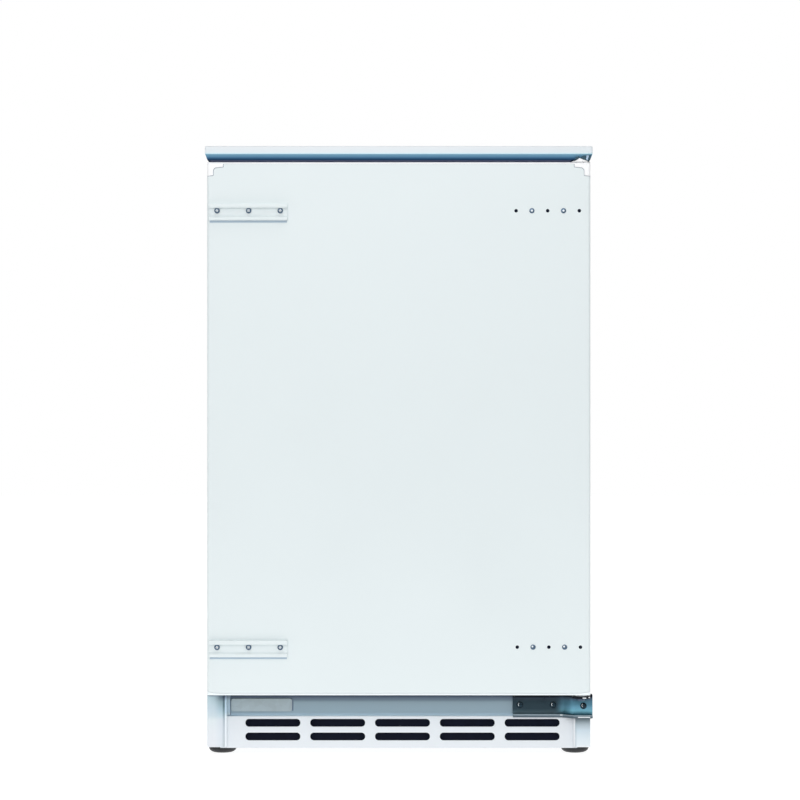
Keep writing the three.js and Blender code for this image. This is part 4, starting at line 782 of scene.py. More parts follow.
for side in (-1, 1):
    x0, x1 = side * STRIP_X - STRIP_WIDE / 2, side * STRIP_X + STRIP_WIDE / 2
    for y0 in (236, 248.4):
        grid.append(brick("strip", x0, x1, y0, y0 + STRIP_THICK, BOTTOM_Z - 30, TOP_Z + 22, 0.4, 2))
    for z in (BOTTOM_Z - 30, TOP_Z + 8):
        grid.append(brick("web", x0, x1, 236, 250, z, z + 2, 0.4, 2))
        grid.append(brick("leg", x0, x1, 220.5, 237.5, z + 12, z + 14, 0.4, 2))
        grid.append(brick("leg", x0, x1, 220.4, 222, z, z + 14, 0.4, 2))
    for i in range(RUNS):
        z = TOP_Z - i * PITCH
        grid.append(brick("clip", x0 + 1, x0 + 9, 237, 249, z - 4, z - 2.4, 0.3, 2))
dress(merged("condenser_grid", grid), "cabinet", "black_paint", ["condenser"])

# Suction and discharge lines, from the compressor's stubs.
sx, sy, sz = -14, 158, 140
dress(pipe("suction_line", [
    (sx, sy, sz), (sx - 22, sy, sz), (sx - 44, sy + 6, sz + 12), (sx - 52, sy + 14, sz + 45),
    (sx - 52, sy + 16, 239)], 4, 20, 10), "cabinet", "copper_pipe", ["suction_pipe"])
dx, dy, dz = -14, 170, 82
dress(pipe("discharge_line", [
    (dx, dy, dz), (dx - 12, dy, dz), (dx - 45, dy + 10, dz), (dx - 130, dy + 26, dz + 8),
    (dx - 195, dy + 48, dz + 45), (RISER_X, TUBE_Y, dz + 88), (RISER_X, TUBE_Y, 199.7)],
    2.5, 16, 10), "cabinet", "copper_pipe", ["discharge_pipe"])

# Cord gland: a flanged bush with two grip rings.
gland_lo, gland_hi = box_mm("cord_gland")
gx, gz = (gland_lo[0] + gland_hi[0]) / 2, (gland_lo[2] + gland_hi[2]) / 2
dress(lathe("cord_gland_turned", [
    (4.5, 0), (11, 0), (11, 1.6), (10.6, 2), (8.4, 2.2), (8.4, 3.2), (9, 3.4), (9, 4.4), (8.2, 4.6),
    (8.2, 5.6), (8.6, 5.8), (8.4, 6.8), (7.8, 7), (5.2, 7), (4.5, 6.4)],
    (gx, gland_lo[1], gz), "y", 36), "cabinet", "black_plastic", ["cord_gland"])

# -------------------------------------------------------------------------- interior

LINER_X, LINER_Z0, LINER_Z1, LINER_BACK, MOUTH_Y = 228, 105, 787, 172, -189
STEP_Y, STEP_Z = 45, 275
SHELF_ZS = (279, 384, 500)
SWITCH_X, SWITCH_Z = 200, 820


def liner_space(name, grow, mouth):
    """The space inside the liner. Its back steps in over the compressor."""
    upper = brick("upper", -LINER_X - grow, LINER_X + grow, mouth, LINER_BACK + grow,
                  STEP_Z - grow, LINER_Z1 + grow)
    lower = brick("lower", -LINER_X - grow, LINER_X + grow, mouth, STEP_Y + grow,
                  LINER_Z0 - grow, STEP_Z + 30)
    space = apply_modifiers(merge_flat(add(upper, lower)))
    round_edges(space, 11 + grow, 6,
                lambda edge: not all(abs(v.co.y - mouth * MM) < 1e-5 for v in edge.verts))
    space.name = name
    return space


shell = liner_space("liner_shell", 1.5, MOUTH_Y + 0.6)
cut(shell, liner_space("space", 0, MOUTH_Y - 4))
flange = bar("flange", round_rect(-248.7, 248.7, 85.3, 829.9, 2, 3), "y", MOUTH_Y, MOUTH_Y + 1.7)
cut(flange, bar("mouth", round_rect(-LINER_X, LINER_X, LINER_Z0, LINER_Z1, 11, 6), "y",
                MOUTH_Y - 1, MOUTH_Y + 3))
cut(flange, drill(SWITCH_X, SWITCH_Z, 3.4, MOUTH_Y - 1, MOUTH_Y + 3))
liner_parts = [shell, flange]
for shelf_z in SHELF_ZS:
    back = STEP_Y - 3 if shelf_z < STEP_Z + 10 else 158
    for side in (-1, 1):
        x0, x1 = sorted((side * 221, side * 228.6))
        liner_parts.append(brick("rib", x0, x1, -78, back, shelf_z - 8, shelf_z - 0.3, 2.4, 4))
        liner_parts.append(brick("stop", x0, x1, back - 9, back - 1, shelf_z + 4.6, shelf_z + 10, 2, 3))
for x in (-150, -75, 0, 75, 150):
    liner_parts.append(brick("rib", x - 6, x + 6, 170.2, 172.6, 300, 618, 1.1, 4))
channel = [(0, 0), (0, 5), (1.5, 7), (6, 7), (7.5, 5), (7.5, 0)]
liner_parts.append(bar("channel", [(171.8 - a, STEP_Z + 16 + b) for a, b in channel], "x", -190, 190))
smooth(merged("liner_moulding", liner_parts))
dress(bpy.data.objects["liner_moulding"], "cabinet", "liner_plastic", ["inner_liner"])
dress(lathe("drain_outlet", [(3.2, 0), (8, 0), (8, 1), (6.5, 2), (4.2, 2.4), (3.2, 2.4)],
            (0, 160, STEP_Z + 0.2), "z", 32), "cabinet", "white_plastic")

# Evaporator: a sheet sleeve round the ice box, with the channel's passes along its floor.
(EX0, EY0, EZ0), (EX1, EY1, EZ1) = box_mm("evaporator")
sleeve = bar("sleeve", round_rect(EX0, EX1, EZ0, EZ1, 12, 8), "y", EY0, EY1)
cut(sleeve, bar("hole", round_rect(EX0 + 2, EX1 - 2, EZ0 + 2, EZ1 - 2, 10, 8), "y", EY0 - 1, EY1 + 1))
passes = [smooth(sleeve)]
PASSES, PASS_PITCH, PASS_R, PASS_Z = 7, 56, 3.2, EZ0 + 1.2
PASS_ENDS, BEND_DEEP = (EY0 + 22, EY1 - 22), 14
for i in range(PASSES):
    x = (i - PASSES // 2) * PASS_PITCH
    passes.append(pipe("pass", [(x, y, PASS_Z) for y in PASS_ENDS], PASS_R, 14))
    if i < PASSES - 1:
        out = -1 if i % 2 == 0 else 1
        bend = [(x + PASS_PITCH / 2 * (1 + a), PASS_ENDS[i % 2] + out * BEND_DEEP * b, PASS_Z)
                for a, b in arc(0, 0, 1, 180, 0, 15)]
        passes.append(pipe("bend", bend, PASS_R, 14))
for passage in passes[1:]:
    for v in passage.data.vertices:
        v.co.z = max(v.co.z, EZ0 * MM)
dress(merged("evaporator_sleeve", passes), "cabinet", "aluminium_sheet", ["evaporator"])

# Ice box: a moulded surround, and a clear flap that hangs from two pivots in it.
FLAP_PIVOT = (0, -50, 765)
(FX0, FY0, FZ0), (FX1, FY1, FZ1) = box_mm("ice_box_frame")
surround = bar("surround", round_rect(FX0, FX1, FZ0, FZ1, 8, 6), "y", FY0, FY1)
cut(surround, bar("hole", round_rect(-205, 205, 660, 772, 4, 5), "y", FY0 - 1, FY1 + 1))
for side in (-1, 1):
    x0, x1 = sorted((side * 203, side * 210))
    cut(surround, lathe("pivot", [(0, x0), (2.7, x0), (2.7, x1), (0, x1)], FLAP_PIVOT, "x", 20))
dress(smooth(soften(surround, 0.9, 3)), "cabinet", "white_plastic", ["ice_box_frame"])

flap = brick("ice_flap_panel", -203, 203, -53, -47, 661, 769, 1.4, 3)
cut(flap, bar("hollow", round_rect(-197, 197, 679, 756, 5, 5), "y", -50.4, -46))
bars = [brick("rib", x - 1, x + 1, -51, -47.4, 678, 757, 0.4, 2) for x in range(-165, 166, 30)]
grip = bar("grip", [(-52, 666), (-61, 666), (-61, 670), (-59.6, 670.2), (-56, 669), (-52, 671)],
           "x", -45, 45)
pivots = [lathe("pivot", [(0, -208), (1.6, -208), (2, -207.4), (2, 207.4), (1.6, 208), (0, 208)],
                FLAP_PIVOT, "x", 16)]
dress(merged("ice_flap_moulding", [flap, grip, *bars, *pivots]), "ice_flap", "clear_plastic",
      ["ice_box_flap"])

# Controls on the right wall: the thermostat with its printed scale, and the lamp behind it.
INNER_X, KNOB_Y, CONTROL_Z = 188, -28, 619
keep_node("thermostat_housing", 2.2, 4)
vents = [brick("vent", INNER_X - 0.5, INNER_X + 0.3, y - 0.9, y + 0.9, 602, 636, 0.3, 2)
         for y in (-4, -1, 2)]
dress(merged("thermostat_ribs", vents), "cabinet", "white_plastic")
ticks = []
for i in range(8):
    a = math.radians(-135 + i * 38.5)
    y, z = KNOB_Y + 21 * math.sin(a), CONTROL_Z + 21 * math.cos(a)
    tick = brick("tick", INNER_X - 0.25, INNER_X + 0.2, -0.45, 0.45, -1.0 - 0.22 * i, 1.0 + 0.22 * i)
    ticks.append(moved(tick, (0, y, z), Matrix.Rotation(-a, 4, "X")))
dress(merged("thermostat_scale", ticks), "cabinet", "white_plastic", material=PRINT_GREY)
knob = lathe("knob", [
    (0, -8), (4, -8), (4, 0.4), (16.6, 0.4), (17, 0.8), (17, 5.6), (16.4, 6.9), (15.2, 7.8), (13.5, 8),
    (0, 8)], (INNER_X, KNOB_Y, CONTROL_Z), "-x", 96,
    lambda a, h: -0.4 * (math.cos(24 * a) > 0) if 0.6 < h < 6 else 0)
wing = brick("wing", INNER_X - 12, INNER_X - 7, KNOB_Y - 2.5, KNOB_Y + 2.5, CONTROL_Z - 14,
             CONTROL_Z + 14, 1.6, 4)
dress(merged("knob_moulding", [knob, wing]), "knob", "white_plastic", ["thermostat_knob"])
dress(brick("knob_pointer", INNER_X - 12.0, INNER_X - 11.6, KNOB_Y - 0.7, KNOB_Y + 0.7,
            CONTROL_Z + 4, CONTROL_Z + 12.4), "knob", "white_plastic", material=PRINT_GREY)

(PX0, PY0, PZ0), (PX1, PY1, PZ1) = box_mm("lamp_cover")
cover = brick("lens", PX0, PX1, PY0, PY1, PZ0, PZ1, 1.3, 3)
flutes = [brick("flute", PX0 + 0.2, PX0 + 2.4, y, y + 2.2, PZ0 + 5, PZ1 - 5, 0.8, 3)
          for y in [PY0 + 6 + k * 4.1 for k in range(17)]]
dress(merged("lamp_lens", [cover, *flutes]), "cabinet", "clear_plastic", ["lamp_cover"])
bulb_y = box_mm("lamp_bulb")[0][1]
bulb_y1 = box_mm("lamp_bulb")[1][1]
dress(lathe("bulb_glass", [
    (0, bulb_y), (6, bulb_y), (6, 35.6), (6.3, 37), (8.2, 40.6), (9.6, 44.5), (10.4, 49), (10.4, 53),
    (9.8, 57.5), (8, 62), (5.2, 64.9), (2.2, bulb_y1 - 0.3), (0, bulb_y1)],
    (INNER_X + 16, 0, CONTROL_Z), "y", 40), "cabinet", "lamp_glass", ["lamp_bulb"])
socket = [lathe("socket", [(0, 8), (9, 8), (9, 21), (7.4, 22), (6.1, 22), (6.1, 30), (0, 30)],
                (INNER_X + 16, 0, CONTROL_Z), "y", 32)]
for i in range(5):
    socket.append(lathe("thread", [(5.8, 22.6 + i * 1.5), (6.5, 23.2 + i * 1.5), (5.8, 23.8 + i * 1.5)],
                        (INNER_X + 16, 0, CONTROL_Z), "y", 32))
dress(merged("lamp_socket", socket), "cabinet", "white_plastic")

# Glass shelves, each with a moulded nose at the front and a strip at the back.
for name in ("crisper_glass_cover", "lower_glass_shelf", "upper_glass_shelf"):
    (x0, y0, z0), (x1, y1, z1) = box_mm(name)
    glass = bar(f"{name}_pane", round_rect(x0, x1, y0 + 3, y1 - 2, 5, 5), "z", z0 + 0.1, z1 - 0.1)
    dress(smooth(soften(glass, 0.5, 2)), "cabinet", "shelf_glass", [name])
    rails = [brick("front", x0 + 0.2, x1 - 0.2, y0, y0 + 10, z0, z0 + 1.1, 0.4, 2),
             brick("nose", x0 + 0.2, x1 - 0.2, y0, y0 + 3.2, z0, z1, 1.2, 4),
             brick("back", x0 + 4, x1 - 4, y1 - 2.6, y1, z0, z1, 0.9, 3),
             brick("back", x0 + 4, x1 - 4, y1 - 8, y1, z0, z0 + 1.1, 0.4, 2)]
    dress(merged(f"{name}_trims", rails), "cabinet", "white_plastic")

# Crisper: a clear tub with a grip along its front.
(CX0, CY0, CZ0), (CX1, CY1, CZ1) = box_mm("crisper_drawer")
tub = loft("tub", tub_rings(CX0, CX1, CY0 + 4, CY1, CZ0, CZ1, 14, 2.2, 5, 3.2, 8))
grip = bar("grip", [(CY0 + 5, 246), (CY0 + 1, 246), (CY0, 248), (CY0, 253.4), (CY0 + 1.2, 254),
                    (CY0 + 2.6, 250), (CY0 + 5, 249)], "x", -60, 60)
lines = [brick("line", -150, 150, CY0 + 6.6, CY0 + 8.4, z, z + 1.6, 0.7, 2) for z in (140, 220)]
dress(merged("crisper_tub", [tub, grip, *lines]), "crisper", "clear_plastic", ["crisper_drawer"])

# Lamp switch plunger, which the closed door presses in.
switch_lo, switch_hi = box_mm("lamp_switch_plunger")
dress(lathe("switch_plunger", [
    (0, switch_hi[1]), (3, switch_hi[1]), (3, switch_lo[1] + 2.2), (2.6, switch_lo[1] + 0.9),
    (1.6, switch_lo[1] + 0.2), (0, switch_lo[1])][::-1], (SWITCH_X, 0, SWITCH_Z), "y", 32), "switch",
    "white_plastic", ["lamp_switch_plunger"])

# ---------------------------------------------------------------------------- hinges

HX, HY = 255, -222
(QX0, _, QZ0), (QX1, _, QZ1) = box_mm("lower_hinge_bracket")
RAIL_Y, FLANGE_Y = -173.3, -189.3


def strap_path(inset):
    """The strap's front line in plan: along the crossrail, then forward to the side panel."""
    line = [(QX0, RAIL_Y - inset), (228, RAIL_Y - inset)]
    for i in range(1, 12):
        t = i / 12
        ease = t * t * (3 - 2 * t)
        line.append((228 + 20 * t, RAIL_Y - inset + (FLANGE_Y - RAIL_Y) * ease))
    return line + [(248, FLANGE_Y - inset), (QX1 - 2, FLANGE_Y - inset)]


def strap(name, z0, z1, near, far, corner):
    """A strip along the strap's line, between two distances in front of the sheets."""
    front, back = strap_path(far), strap_path(near)
    end, turn = QX1 - 0.2, min(2, (far - near) / 2)
    outline = front + [(end - 0.6, FLANGE_Y - far + turn * 0.3), (end, FLANGE_Y - far + turn)]
    outline += [(end, FLANGE_Y - near)] + back[:-1][::-1]
    piece = bar(name, outline, "z", z0, z1)
    return apply_modifiers(soften(piece, corner, 3, 50))


plate = strap("plate", QZ0 + 1.6, QZ1, 0, 2.5, 1.0)
foot = strap("foot", QZ0, QZ0 + 2.5, 0.4, 8.2, 0.6)
lip = strap("lip", QZ0 - 1.7, QZ0 + 2.8, 8.1, 9.7, 0.6)
wrap = brick("wrap", 270.4, QX1, FLANGE_Y - 1.6, -176, QZ0 + 1.6, QZ1 - 0.4, 0.9, 3)
glints = [brick("glint", 227.5, 237.5, -184.2, -183.2, QZ0 + 1.2, QZ0 + 2.5, 0.35, 3),
          brick("glint", 252, 269, -199.4, -198.8, QZ0 - 0.6, QZ0 + 0.7, 0.3, 3),
          brick("glint", 256.5, 261.5, -235.2, -233.6, 79.7, 81.0, 0.3, 3),
          brick("glint", 263.5, 267, -230.2, -228.6, 80.0, 81.3, 0.3, 3)]
for x, y in ((171, -178.6), (218, -178.6), (260, -194.6)):
    for tilt, rise in ((28, -0.95), (-28, 0.95)):
        glint = brick("glint", -0.35, 0.35, -0.3, 0.3, -1.3, 1.3, 0.2, 2)
        glints.append(moved(glint, (x - 1.9, y, 66.3 - rise),
                            Matrix.Rotation(math.radians(tilt), 4, "Y")))
dress(merged("lower_bracket_glints", glints), "cabinet", "zinc_plate", material=PAINTED_HIGHLIGHT)
arm_outline = arc(HX, HY, 13, 180, 360, 24) + [(HX + 13, FLANGE_Y - 1), (HX - 13, FLANGE_Y - 1)]
arm = bar("arm", arm_outline, "z", QZ1 - 3, QZ1)
cut(arm, lathe("hole", [(0, 70), (3.3, 70), (3.3, 90), (0, 90)], (HX, HY, 0), "z", 28))
arm = apply_modifiers(soften(arm, 0.6, 2, 50))
dress(merged("lower_bracket_strap", [plate, wrap, arm]), "cabinet", "zinc_plate",
      ["lower_hinge_bracket"], BRACKET_LIGHT_AND_SHADE)
dress(merged("lower_bracket_edge", [foot, lip]), "cabinet", "zinc_plate", material=BRACKET_EDGE_HIGHLIT)
keep_node("upper_hinge_bracket", 0.5, 3)
dress(lathe("lower_pin_turned", [
    (0, 75.5), (4.4, 75.5), (5, 76.1), (5, 78.5), (3, 78.6), (3, 95), (2.5, 96), (1.6, 96.5), (0, 96.5)],
    (HX, HY, 0), "z", 36), "cabinet", "screw_steel", ["lower_hinge_pin"], RIVET_DARK)
dress(lathe("upper_pin_turned", [
    (0, 811), (1.6, 811), (2.5, 811.5), (3, 812.5), (3, 829.6), (2.6, 830), (0, 830)],
    (HX, HY, 0), "z", 36), "cabinet", "screw_steel", ["upper_hinge_pin"])
heads = [pan_screw("s", x, -175.8 if x < 235 else -191.8, 65.5, "-y", 4.6, 2.4, turn)
         for x, turn in ((171, 15), (218, 50), (260, 30))]
dress(merged("lower_bracket_screws", heads), "cabinet", "zinc_plate")

# Upper hinge: a white cap that rises to a peak, and the bracket's bright corner beside it.
(UX0, UY0, UZ0), (UX1, UY1, UZ1) = box_mm("upper_hinge_cover")
PEAK_X = 252
peak = [(UX0, UZ0), (UX0, UZ0 + 0.6)]
for i in range(1, 13):
    t = i / 12
    peak.append((UX0 + (PEAK_X - 0.8 - UX0) * t, UZ0 + 0.6 + (UZ1 - UZ0 - 0.9) * t ** 2.1))
peak += [(PEAK_X, UZ1), (PEAK_X + 0.8, UZ1 - 0.35), (PEAK_X + 7, UZ0 + 2.3), (UX1, UZ0 + 0.5), (UX1, UZ0)]
lip = apply_modifiers(soften(bar("lip", peak, "y", UY0, UY0 + 1.1), 0.25, 2, 50))
nose = brick("nose", UX0 + 7, UX1 - 1, UY0 + 0.7, UY1, UZ0 + 0.1, UZ0 + 2, 0.4, 3)
dress(merged("upper_hinge_cap", [lip, nose]), "cabinet", "white_plastic", ["upper_hinge_cover"],
      CAP_WHITE_HIGHLIT)
corner = bar("corner", [
    (253.0, 833.8), (256.2, 831.9), (259.6, 831.0), (264.4, 829.0), (266.2, 832.4), (268.2, 837.4),
    (262.0, 837.2), (256.0, 835.9)], "y", -244.6, -243.8)
tongue = bar("tongue", [(244.2, 831.0), (247.6, 831.4), (250.2, 832.6), (251.3, 834.2),
                        (251.6, 835.8), (247.8, 834.9)], "y", -244.4, -243.8)
dress(merged("upper_hinge_corner", [corner, tongue]), "cabinet", "zinc_plate")
streak = bar("streak", [(260.8, 831.2), (263.2, 830.4), (264.6, 837.0), (261.6, 837.0)],
             "y", -244.9, -244.5)
dress(merged("upper_hinge_glint", [streak]), "cabinet", "zinc_plate", material=GLINT)
for name, profile in (
        ("hinge_bush_lower", [(3.4, 82.1), (7.6, 82.1), (8, 82.5), (8, 84.4), (7.6, 84.8), (5, 84.9),
                              (5, 97.6), (4.6, 98), (3.8, 98), (3.4, 97.6)]),
        ("hinge_bush_upper", [(3.4, 809), (5, 809), (5, 827.2), (4.7, 827.6), (3.8, 827.6), (3.4, 827.2)])):
    dress(lathe(f"{name}_turned", profile, (HX, HY, 0), "z", 36), "door", "white_plastic", [name])

# ------------------------------------------------------------------------------ door

DOOR_X, DOOR_Y0, DOOR_Y1, DOOR_Z0, DOOR_Z1, SHEET = 267, -243, -198, 85.1, 827.7, 0.8
RAIL_ZS, TOP_LIP = (152.1, 759.9), 2.6
HOLE_XS = ((165, 187, 209, 231, 253), (163.4, 185.4, 207.4, 229.4, 251.4))
RAIL_SCREW_XS = (-253, -209, -165)


def door_form(name, margin, z0, z1):
    """The door's outer form, with rounded front edges, inset by a margin."""
    x, y0, top = DOOR_X - margin, DOOR_Y0 + margin, z1 - margin
    plan = (arc(-x + 3.5 - margin, y0 + 3.5 - margin, 3.5 - margin, 180, 270, 8)
            + arc(x - 3.5 + margin, y0 + 3.5 - margin, 3.5 - margin, 270, 360, 8)
            + [(x, DOOR_Y1 + 8 * (margin > 0)), (-x, DOOR_Y1 + 8 * (margin > 0))])
    form = bar(name, plan, "z", z0, z1 + 1)
    profile = ([(DOOR_Y1 + 9, z0 - 1), (DOOR_Y1 + 9, top)]
               + arc(y0 + 3 - margin, top - 3 + margin, 3 - margin, 90, 180, 8) + [(y0, z0 - 1)])
    return keep_common(form, bar("profile", profile, "x", -300, 300))


def lobe_outline(side, margin):
    """The L-shaped corner of the top cap on the door's front."""
    inner, low = DOOR_X - 22.3 - margin, DOOR_Z1 - 6.8 - margin
    leg, bottom = DOOR_X - 8.5 - margin, DOOR_Z1 - 18.4 - margin
    points = [(inner, DOOR_Z1 + 1)] + arc(inner + 1.2, low + 1.2, 1.2, 180, 270, 4)
    points += arc(leg - 4.6, low - 5.4, 4.6, 90, 0, 8)
    points += arc(leg + 1.2, bottom + 1.0, 1.2, 180, 270, 4)
    points += [(DOOR_X + 1, bottom - 1.2), (DOOR_X + 1, DOOR_Z1 + 1)]
    return [(side * a, b) for a, b in points]


def cap_front(margin, y0, y1):
    """The top cap's share of the door's front, as two corner lobes and the lip between."""
    lip = brick("lip", -DOOR_X - 1, DOOR_X + 1, y0, y1, DOOR_Z1 - TOP_LIP - margin / 4, DOOR_Z1 + 1)
    return add(lip, bar("lobe", lobe_outline(-1, margin), "y", y0 + 0.01, y1 - 0.01),
               bar("lobe", lobe_outline(1, margin), "y", y0 + 0.01, y1 - 0.01))


def bottom_lip_outline(margin):
    """The strip of the bottom cap, whose upper edge rises towards both corners."""
    z, edge, bend = DOOR_Z0 + 2.5 + margin, DOOR_X + 1, DOOR_X - 20
    rise = [(bend + (edge - bend) * t, z + 2.7 * t * t) for t in [i / 8 for i in range(9)]]
    return ([(-edge, DOOR_Z0 - 2), (edge, DOOR_Z0 - 2)] + rise[::-1]
            + [(-a, b) for a, b in rise])


# The folded front sheet, with its openings for both caps and for the screws.
skin = door_form("door_front_sheet", 0, DOOR_Z0, DOOR_Z1)
cut(skin, door_form("inside", SHEET, DOOR_Z0 - 5, DOOR_Z1))
cut(skin, brick("opening", -DOOR_X + SHEET, DOOR_X - SHEET, DOOR_Y0 + 10, DOOR_Y1 + 5, DOOR_Z1 - 6,
                DOOR_Z1 + 2))
cut(skin, cap_front(0.6, DOOR_Y0 - 1, DOOR_Y0 + 11.3))
cut(skin, bar("strip", bottom_lip_outline(0.3), "y", DOOR_Y0 - 1, DOOR_Y1 + 1))
for z, xs in zip(RAIL_ZS, HOLE_XS):
    for x in RAIL_SCREW_XS:
        cut(skin, drill(x, z, 2.3, DOOR_Y0 - 1, DOOR_Y0 + 2))
    for i in (0, 2, 4):
        cut(skin, drill(xs[i], z, 2.5, DOOR_Y0 - 1, DOOR_Y0 + 2))
dress(smooth(skin, 30), "door", "coated_steel", ["door_skin"])

# The right-hand rows: two domed rivets between three open threaded holes. The rivets' bright centres
# are painted highlights, off centre on the lower row, and the holes hold dark discs of painted shade.
rivets, rivet_highlights, hole_shade_discs = [], [], []
for z, xs, highlight_offset in zip(RAIL_ZS, HOLE_XS, (0.8, 0)):
    for i in (1, 3):
        rivets.append(lathe("rivet", [
            (0, 0), (3.6, 0), (3.65, -0.3), (3.3, -0.75), (2.4, -1.0), (1.2, -1.05), (0, -1.05)],
            (xs[i], DOOR_Y0, z), "y", 32))
        bright = 1.5 - highlight_offset * 0.25
        rivet_highlights.append(lathe("centre", [(0, -1.25), (bright - 0.4, -1.2), (bright, -1.0), (0, -1.0)],
                             (xs[i] - highlight_offset, DOOR_Y0, z + highlight_offset), "y", 28))
    for i in (0, 2, 4):
        hole_shade_discs.append(lathe("hole_shade_disc", [(0, 0.35), (2.5, 0.35), (2.5, 0.75), (0, 0.75)],
                           (xs[i], DOOR_Y0, z), "y", 28))
dress(merged("door_rivets", rivets), "door", "zinc_plate", material=RIVET_DARK)
dress(merged("door_rivet_highlights", rivet_highlights), "door", "screw_steel", material=PAINTED_HIGHLIGHT)
dress(merged("door_hole_shade_discs", hole_shade_discs), "door", "black_plastic", material=HOLE_SHADE)

# Both end caps, and the shadow line round the top one.
cap = door_form("cap", 0, DOOR_Z0, DOOR_Z1)
moved(cap, (0, -0.35, 0))
keep_common(cap, cap_front(0, DOOR_Y0 - 1, DOOR_Y0 + 11))
seam = cap_front(0.55, DOOR_Y0 + 1.0, DOOR_Y0 + 1.8)
cut(seam, cap_front(0.05, DOOR_Y0, DOOR_Y0 + 3))
keep_common(seam, door_form("form", 0.2, DOOR_Z0, DOOR_Z1))
seam.name = "door_cap_painted_shadow"
dress(seam, "door", "gasket_rubber", material=SHADE_LINE)
inside = DOOR_X - SHEET - 0.3
deck = [cap, brick("under", -inside, inside, DOOR_Y0 + 2.1, DOOR_Y1, DOOR_Z1 - 4, DOOR_Z1 - 1.1),
        brick("deck", -inside, inside, DOOR_Y0 + 10.3, DOOR_Y1, DOOR_Z1 - 3, DOOR_Z1 - 0.2)]
for piece in deck:
    cut(piece, lathe("bush", [(0, 800), (5.3, 800), (5.3, 830), (0, 830)], (HX, HY, 0), "z", 32))
dress(merged("door_cap_top", deck), "door", "white_plastic", ["door_top_cap"], CAP_WHITE_HIGHLIT)

tray = door_form("tray", 0, DOOR_Z0, DOOR_Z1)
keep_common(tray, bar("strip", bottom_lip_outline(0), "y", DOOR_Y0 - 1, DOOR_Y1 + 1))
cut(tray, brick("pocket", -DOOR_X + 2, DOOR_X - 2, DOOR_Y0 + 2, DOOR_Y1 + 2, DOOR_Z0 + 2.5, DOOR_Z0 + 20))
cut(tray, lathe("bush", [(0, 80), (5.3, 80), (5.3, 95), (0, 95)], (HX, HY, 0), "z", 32))
tray.name = "door_cap_bottom"
dress(smooth(soften(tray, 0.4, 2)), "door", "white_plastic", ["door_bottom_cap"], LIP_WHITE_HIGHLIT)
keep_node("door_foam", 0)

# Slide rails for the furniture door, each with three pan-head screws and a strip of painted shadow below
# it.
recess_highlights = []
for level, z in zip(("lower", "upper"), RAIL_ZS):
    (x0, y0, z0), (x1, y1, z1) = box_mm(f"slide_rail_{level}")
    section = ([(y1, z0), (y1, z1)] + arc(y0 + 1.6, z1 - 1.6, 1.6, 90, 180, 5)
               + arc(y0 + 0.8, z1 - 5.2, 0.8, 180, 270, 3) + [(y0 + 4.6, z1 - 6.6)]
               + arc(y0 + 4.4, z1 - 7.2, 0.6, 60, 0, 3)
               + [(y0 + 5, z0 + 7.4), (y0 + 4.4, z0 + 6.4), (y0 + 1.2, z0 + 4.6)]
               + arc(y0 + 1.0, z0 + 3.6, 1.0, 90, 180, 3) + arc(y0 + 1.2, z0 + 1.2, 1.2, 180, 270, 4))
    channel = bar("channel", section, "x", x0, x1)
    for x in RAIL_SCREW_XS:
        cut(channel, drill(x, z, 2.3, y0 - 1, y1 + 1))
    dress(smooth(soften(channel, 0.3, 2, 50)), "door", "coated_steel",
          [f"slide_rail_{level}"])
    # A thin strip under the rail: painted shadow.
    dress(brick(f"slide_rail_{level}_painted_shadow", x0 + 1.2, x1 - 0.4, y1 + 0.03, y1 + 0.25, z0 - 2.9, z1 - 2),
          "door", "gasket_rubber", material=RAIL_SHADE)
    for i, x in enumerate(RAIL_SCREW_XS):
        head = pan_screw(f"slide_rail_{level}_screw_{i + 1}", x, -245.1, z, "-y", 3.9, 2.5, 20 + 31 * i)
        shank = lathe("shank", [(0, -245), (1.9, -245), (1.9, -235), (0, -233)], (x, 0, z), "y", 16)
        dress(merged(head.name, [head, shank]), "door", "screw_steel",
              [f"rail_screw_{level}_{i + 1}"], RIVET_DARK)
        # A bright cross in each screw's recess: painted reflection.
        for angle in (0, 90):
            recess_highlight = brick("recess_highlight", -1.9, 1.9, -1.0, 1.0, -0.4, 0.4, 0.3, 2)
            recess_highlights.append(moved(recess_highlight, (x, -247.2, z), FACING["-y"] @ Matrix.Rotation(
                math.radians(20 + 31 * i + angle), 4, "Z")))
dress(merged("rail_screw_highlights", recess_highlights), "door", "screw_steel", material=PAINTED_HIGHLIGHT)

# The inner moulding: a flat border, a raised dike, and seats and ribs between.
back = DOOR_Y1 - 1.5
dike_profile = [(0.0, back + 0.2), (0.3, back + 3), (0.5, back + 17), (0.7, -177.0), (1.2, -175.6),
                (2.4, -175.0), (15.6, -175.0), (16.8, -175.6), (17.3, -177.0), (17.5, back + 17),
                (17.7, back + 3), (18.0, back + 0.2)]
liner = [brick("plate", -264, 264, back, DOOR_Y1, 91, 823, 0.6, 2),
         frame_loop("dike", -220, 220, 110, 783, dike_profile, 3, 6)]
for z0 in (128.3, 410, 590):
    for side in (-1, 1):
        x0, x1 = sorted((side * 201.9, side * 206))
        liner.append(brick("seat", x0, x1, -197, -179, z0 - 12, z0 + 26, 1.8, 4))
        x0, x1 = sorted((side * 190, side * 203))
        liner.append(brick("ledge", x0, x1, -198.4, -184, z0 - 9, z0 - 0.6, 2, 4))
for x in (-120, 0, 120):
    for z0, z1 in ((240, 392), (470, 572), (652, 760)):
        liner.append(brick("rib", x - 8, x + 8, -198.6, -196.9, z0, z1, 0.8, 3))
dress(merged("door_inner_moulding", liner), "door", "liner_plastic", ["door_liner"])

